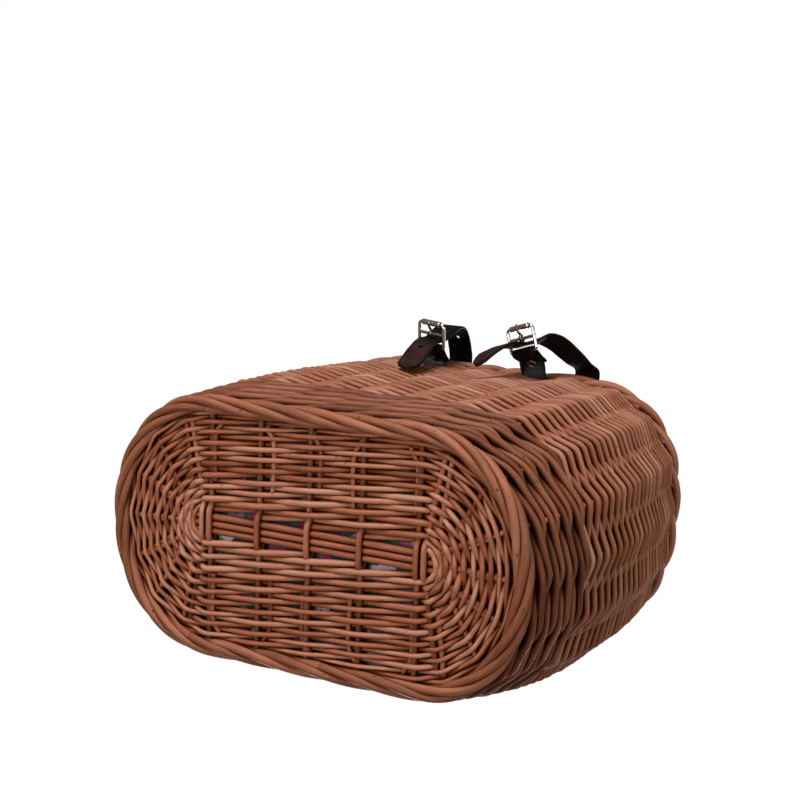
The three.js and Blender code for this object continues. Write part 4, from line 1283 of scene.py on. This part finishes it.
def turned(name, profile, centre, axis, finish, sides=32):
    """A profile of (distance along, radius) spun round an axis; closed where it ends at 0."""
    axis = unit(axis)
    side = unit(np.cross(axis, (0.31, 0.52, 0.77)))
    other = np.cross(axis, side)
    turn = np.arange(sides) * 2 * np.pi / sides
    spokes = np.cos(turn)[:, None] * side + np.sin(turn)[:, None] * other
    points, rings = [], []
    for along, radius in profile:
        if radius < 1e-6:
            rings.append([len(points)] * sides)
            points.append(centre + axis * along)
        else:
            rings.append(list(range(len(points), len(points) + sides)))
            points.extend(centre + axis * along + spokes * radius)
    faces = []
    for low, high in zip(rings[:-1], rings[1:]):
        for i in range(sides):
            k = (i + 1) % sides
            faces.append(tuple(dict.fromkeys([low[i], low[k], high[k], high[i]])))
    return smooth_metal(add_mesh(name, np.array(points) * MM, [], faces), finish)


# %% Buckles and rivets
BAR_HALF = 12.0
CORNER = 2.6
WIRE_RADIUS, BAR_RADIUS = 1.2, 1.15


def buckle_wire(name, seat, finish):
    wire = RodBundle()
    ring = []
    for w, l, start in ((1, FRONT_BAR, 0.0), (-1, FRONT_BAR, 0.5), (-1, HEEL, 1.0), (1, HEEL, 1.5)):
        middle_w = w * (BAR_HALF - CORNER)
        middle_l = l - math.copysign(CORNER, l)
        turn = np.pi * (start + np.linspace(0.0, 0.5, 9))
        out_w, out_l = CORNER * np.cos(turn), CORNER * np.sin(turn)
        ring.extend(seat.spot(middle_w + out_w, middle_l + out_l, 0.0 * turn))
    wire.add(ring, WIRE_RADIUS, 0.5, ring=True)
    bar = seat.spot(np.linspace(-BAR_HALF, BAR_HALF, 9), np.zeros(9), np.zeros(9))
    wire.add(bar, BAR_RADIUS, 0.5)
    return wire.make(name, finish, 16)


def buckle_roller(name, seat, finish):
    bore, outer, half = 1.5, 2.1, 8.6
    lip = [(0.3, bore), (0.0, bore + 0.15), (0.0, outer - 0.25), (0.25, outer)]
    profile = [(-half + step, radius) for step, radius in lip]
    profile += [(place, outer) for place in np.linspace(-half + 1.0, half - 1.0, 5)]
    profile += [(half - step, radius) for step, radius in lip[::-1]]
    profile.append(profile[0])
    return turned(name, profile, seat.spot(0.0, FRONT_BAR, 0.0), seat.width, finish)


def buckle_prong(name, seat, finish, sides=16):
    """A tongue of oval section from the rolled eye, over the roller to just past it."""
    eye = np.linspace(-0.55, 1.5 * np.pi, 19)
    path = [(2.0 * math.cos(t), 2.0 * math.sin(t)) for t in eye[::-1]] + [(3.4, 1.1), (5.6, 2.55)]
    path += [(FRONT_BAR + past, n) for past, n in ((-0.6, 3.25), (1.2, 3.2), (2.7, 2.75))]
    path = smooth_line(np.array([(l, n, 0.0) for l, n in path]), 4)[:, :2]
    rows = len(path)
    middle = seat.spot(np.zeros(rows), path[:, 0], path[:, 1])
    along = unit(np.gradient(middle, axis=0))
    normal = np.cross(along, seat.width)
    part = np.linspace(0.0, 1.0, rows)
    half_width = np.interp(part, [0.0, 0.6, 0.95, 1.0], [1.2, 1.2, 0.8, 0.45])
    half_thick = np.interp(part, [0.0, 0.55, 0.9, 1.0], [0.45, 0.5, 0.75, 0.4])
    turn = np.arange(sides) * 2 * np.pi / sides
    w, n = (np.sign(wave) * np.abs(wave) ** 0.7 for wave in (np.cos(turn), np.sin(turn)))
    points = (
        middle[:, None]
        + seat.width * (half_width[:, None] * w)[..., None]
        + normal[:, None] * (half_thick[:, None] * n)[..., None]
    )
    faces = [face[:1] + face[:0:-1] for face in tube_faces(rows, sides)]
    faces += [tuple(reversed(range(sides))), tuple((rows - 1) * sides + i for i in range(sides))]
    return smooth_metal(add_mesh(name, points.reshape(-1, 3) * MM, [], faces), finish)


def strap_rivet(name, chape, finish):
    grip, head, rise, shank = 2.45, 3.6, 1.3, 1.5
    turns = np.linspace(0.0, 1.0, 8) * np.pi / 2
    dome = [(grip + rise * math.cos(t), head * math.sin(t)) for t in turns]
    dome += [(grip - 0.15, head - 0.1), (grip - 0.15, shank)]
    profile = [(-along, radius) for along, radius in dome] + dome[::-1]
    return turned(name, profile, chape.spot(RIVET_PLACE, 0.0), chape.front, finish)


# %% Metal fittings
fittings = []
for side, seat, chape in (("left", left_seat, left_chape), ("right", right_seat, right_chape)):
    for make, holder, finish, name, body, node in (
        (buckle_wire, seat, nickel, "buckle_wire", "strap", "buckle_frame"),
        (strap_rivet, chape, bronze, "rivet_dome", "strap", "rivet"),
        (buckle_roller, seat, nickel, "roller_tube", "buckle_roller", "buckle_roller"),
        (buckle_prong, seat, bronze, "prong_tongue", "buckle_prong", "buckle_prong"),
    ):
        made = make(f"{name}_{side}", holder, finish)
        fittings.append((made, f"{body}_{side}", f"{node}_{side}"))
print("metal fittings:", len(fittings))

# %% Pieces take the place of their solids
LONG_STICKS = [f"base_long_stick_{i}" for i in (1, 2, 3)]
CROSS_STICKS = [f"base_cross_stick_{i}" for i in range(1, 8)]
for piece, slot, nodes in (
    (side_weave, "willow", ["side_weave"]),
    (lower_wale, "willow", ["lower_wale"]),
    (upsett, "willow", ["upsett_wale"]),
    (rim_border, "willow", ["rim_border"]),
    (base_weave, "willow", ["base_weave"]),
    (base_sticks, "stick", LONG_STICKS + CROSS_STICKS),
    (stakes, "stick", [f"stake_{i:02d}" for i in range(1, STAKES + 1)]),
    (liner, "cotton", ["liner"]),
):
    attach(piece, "basket")
    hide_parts(*nodes)
for side, strap in straps.items():
    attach(strap, f"strap_{side}")
    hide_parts(f"strap_{side}")
for piece, body, node in fittings:
    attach(piece, body)
    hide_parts(node)
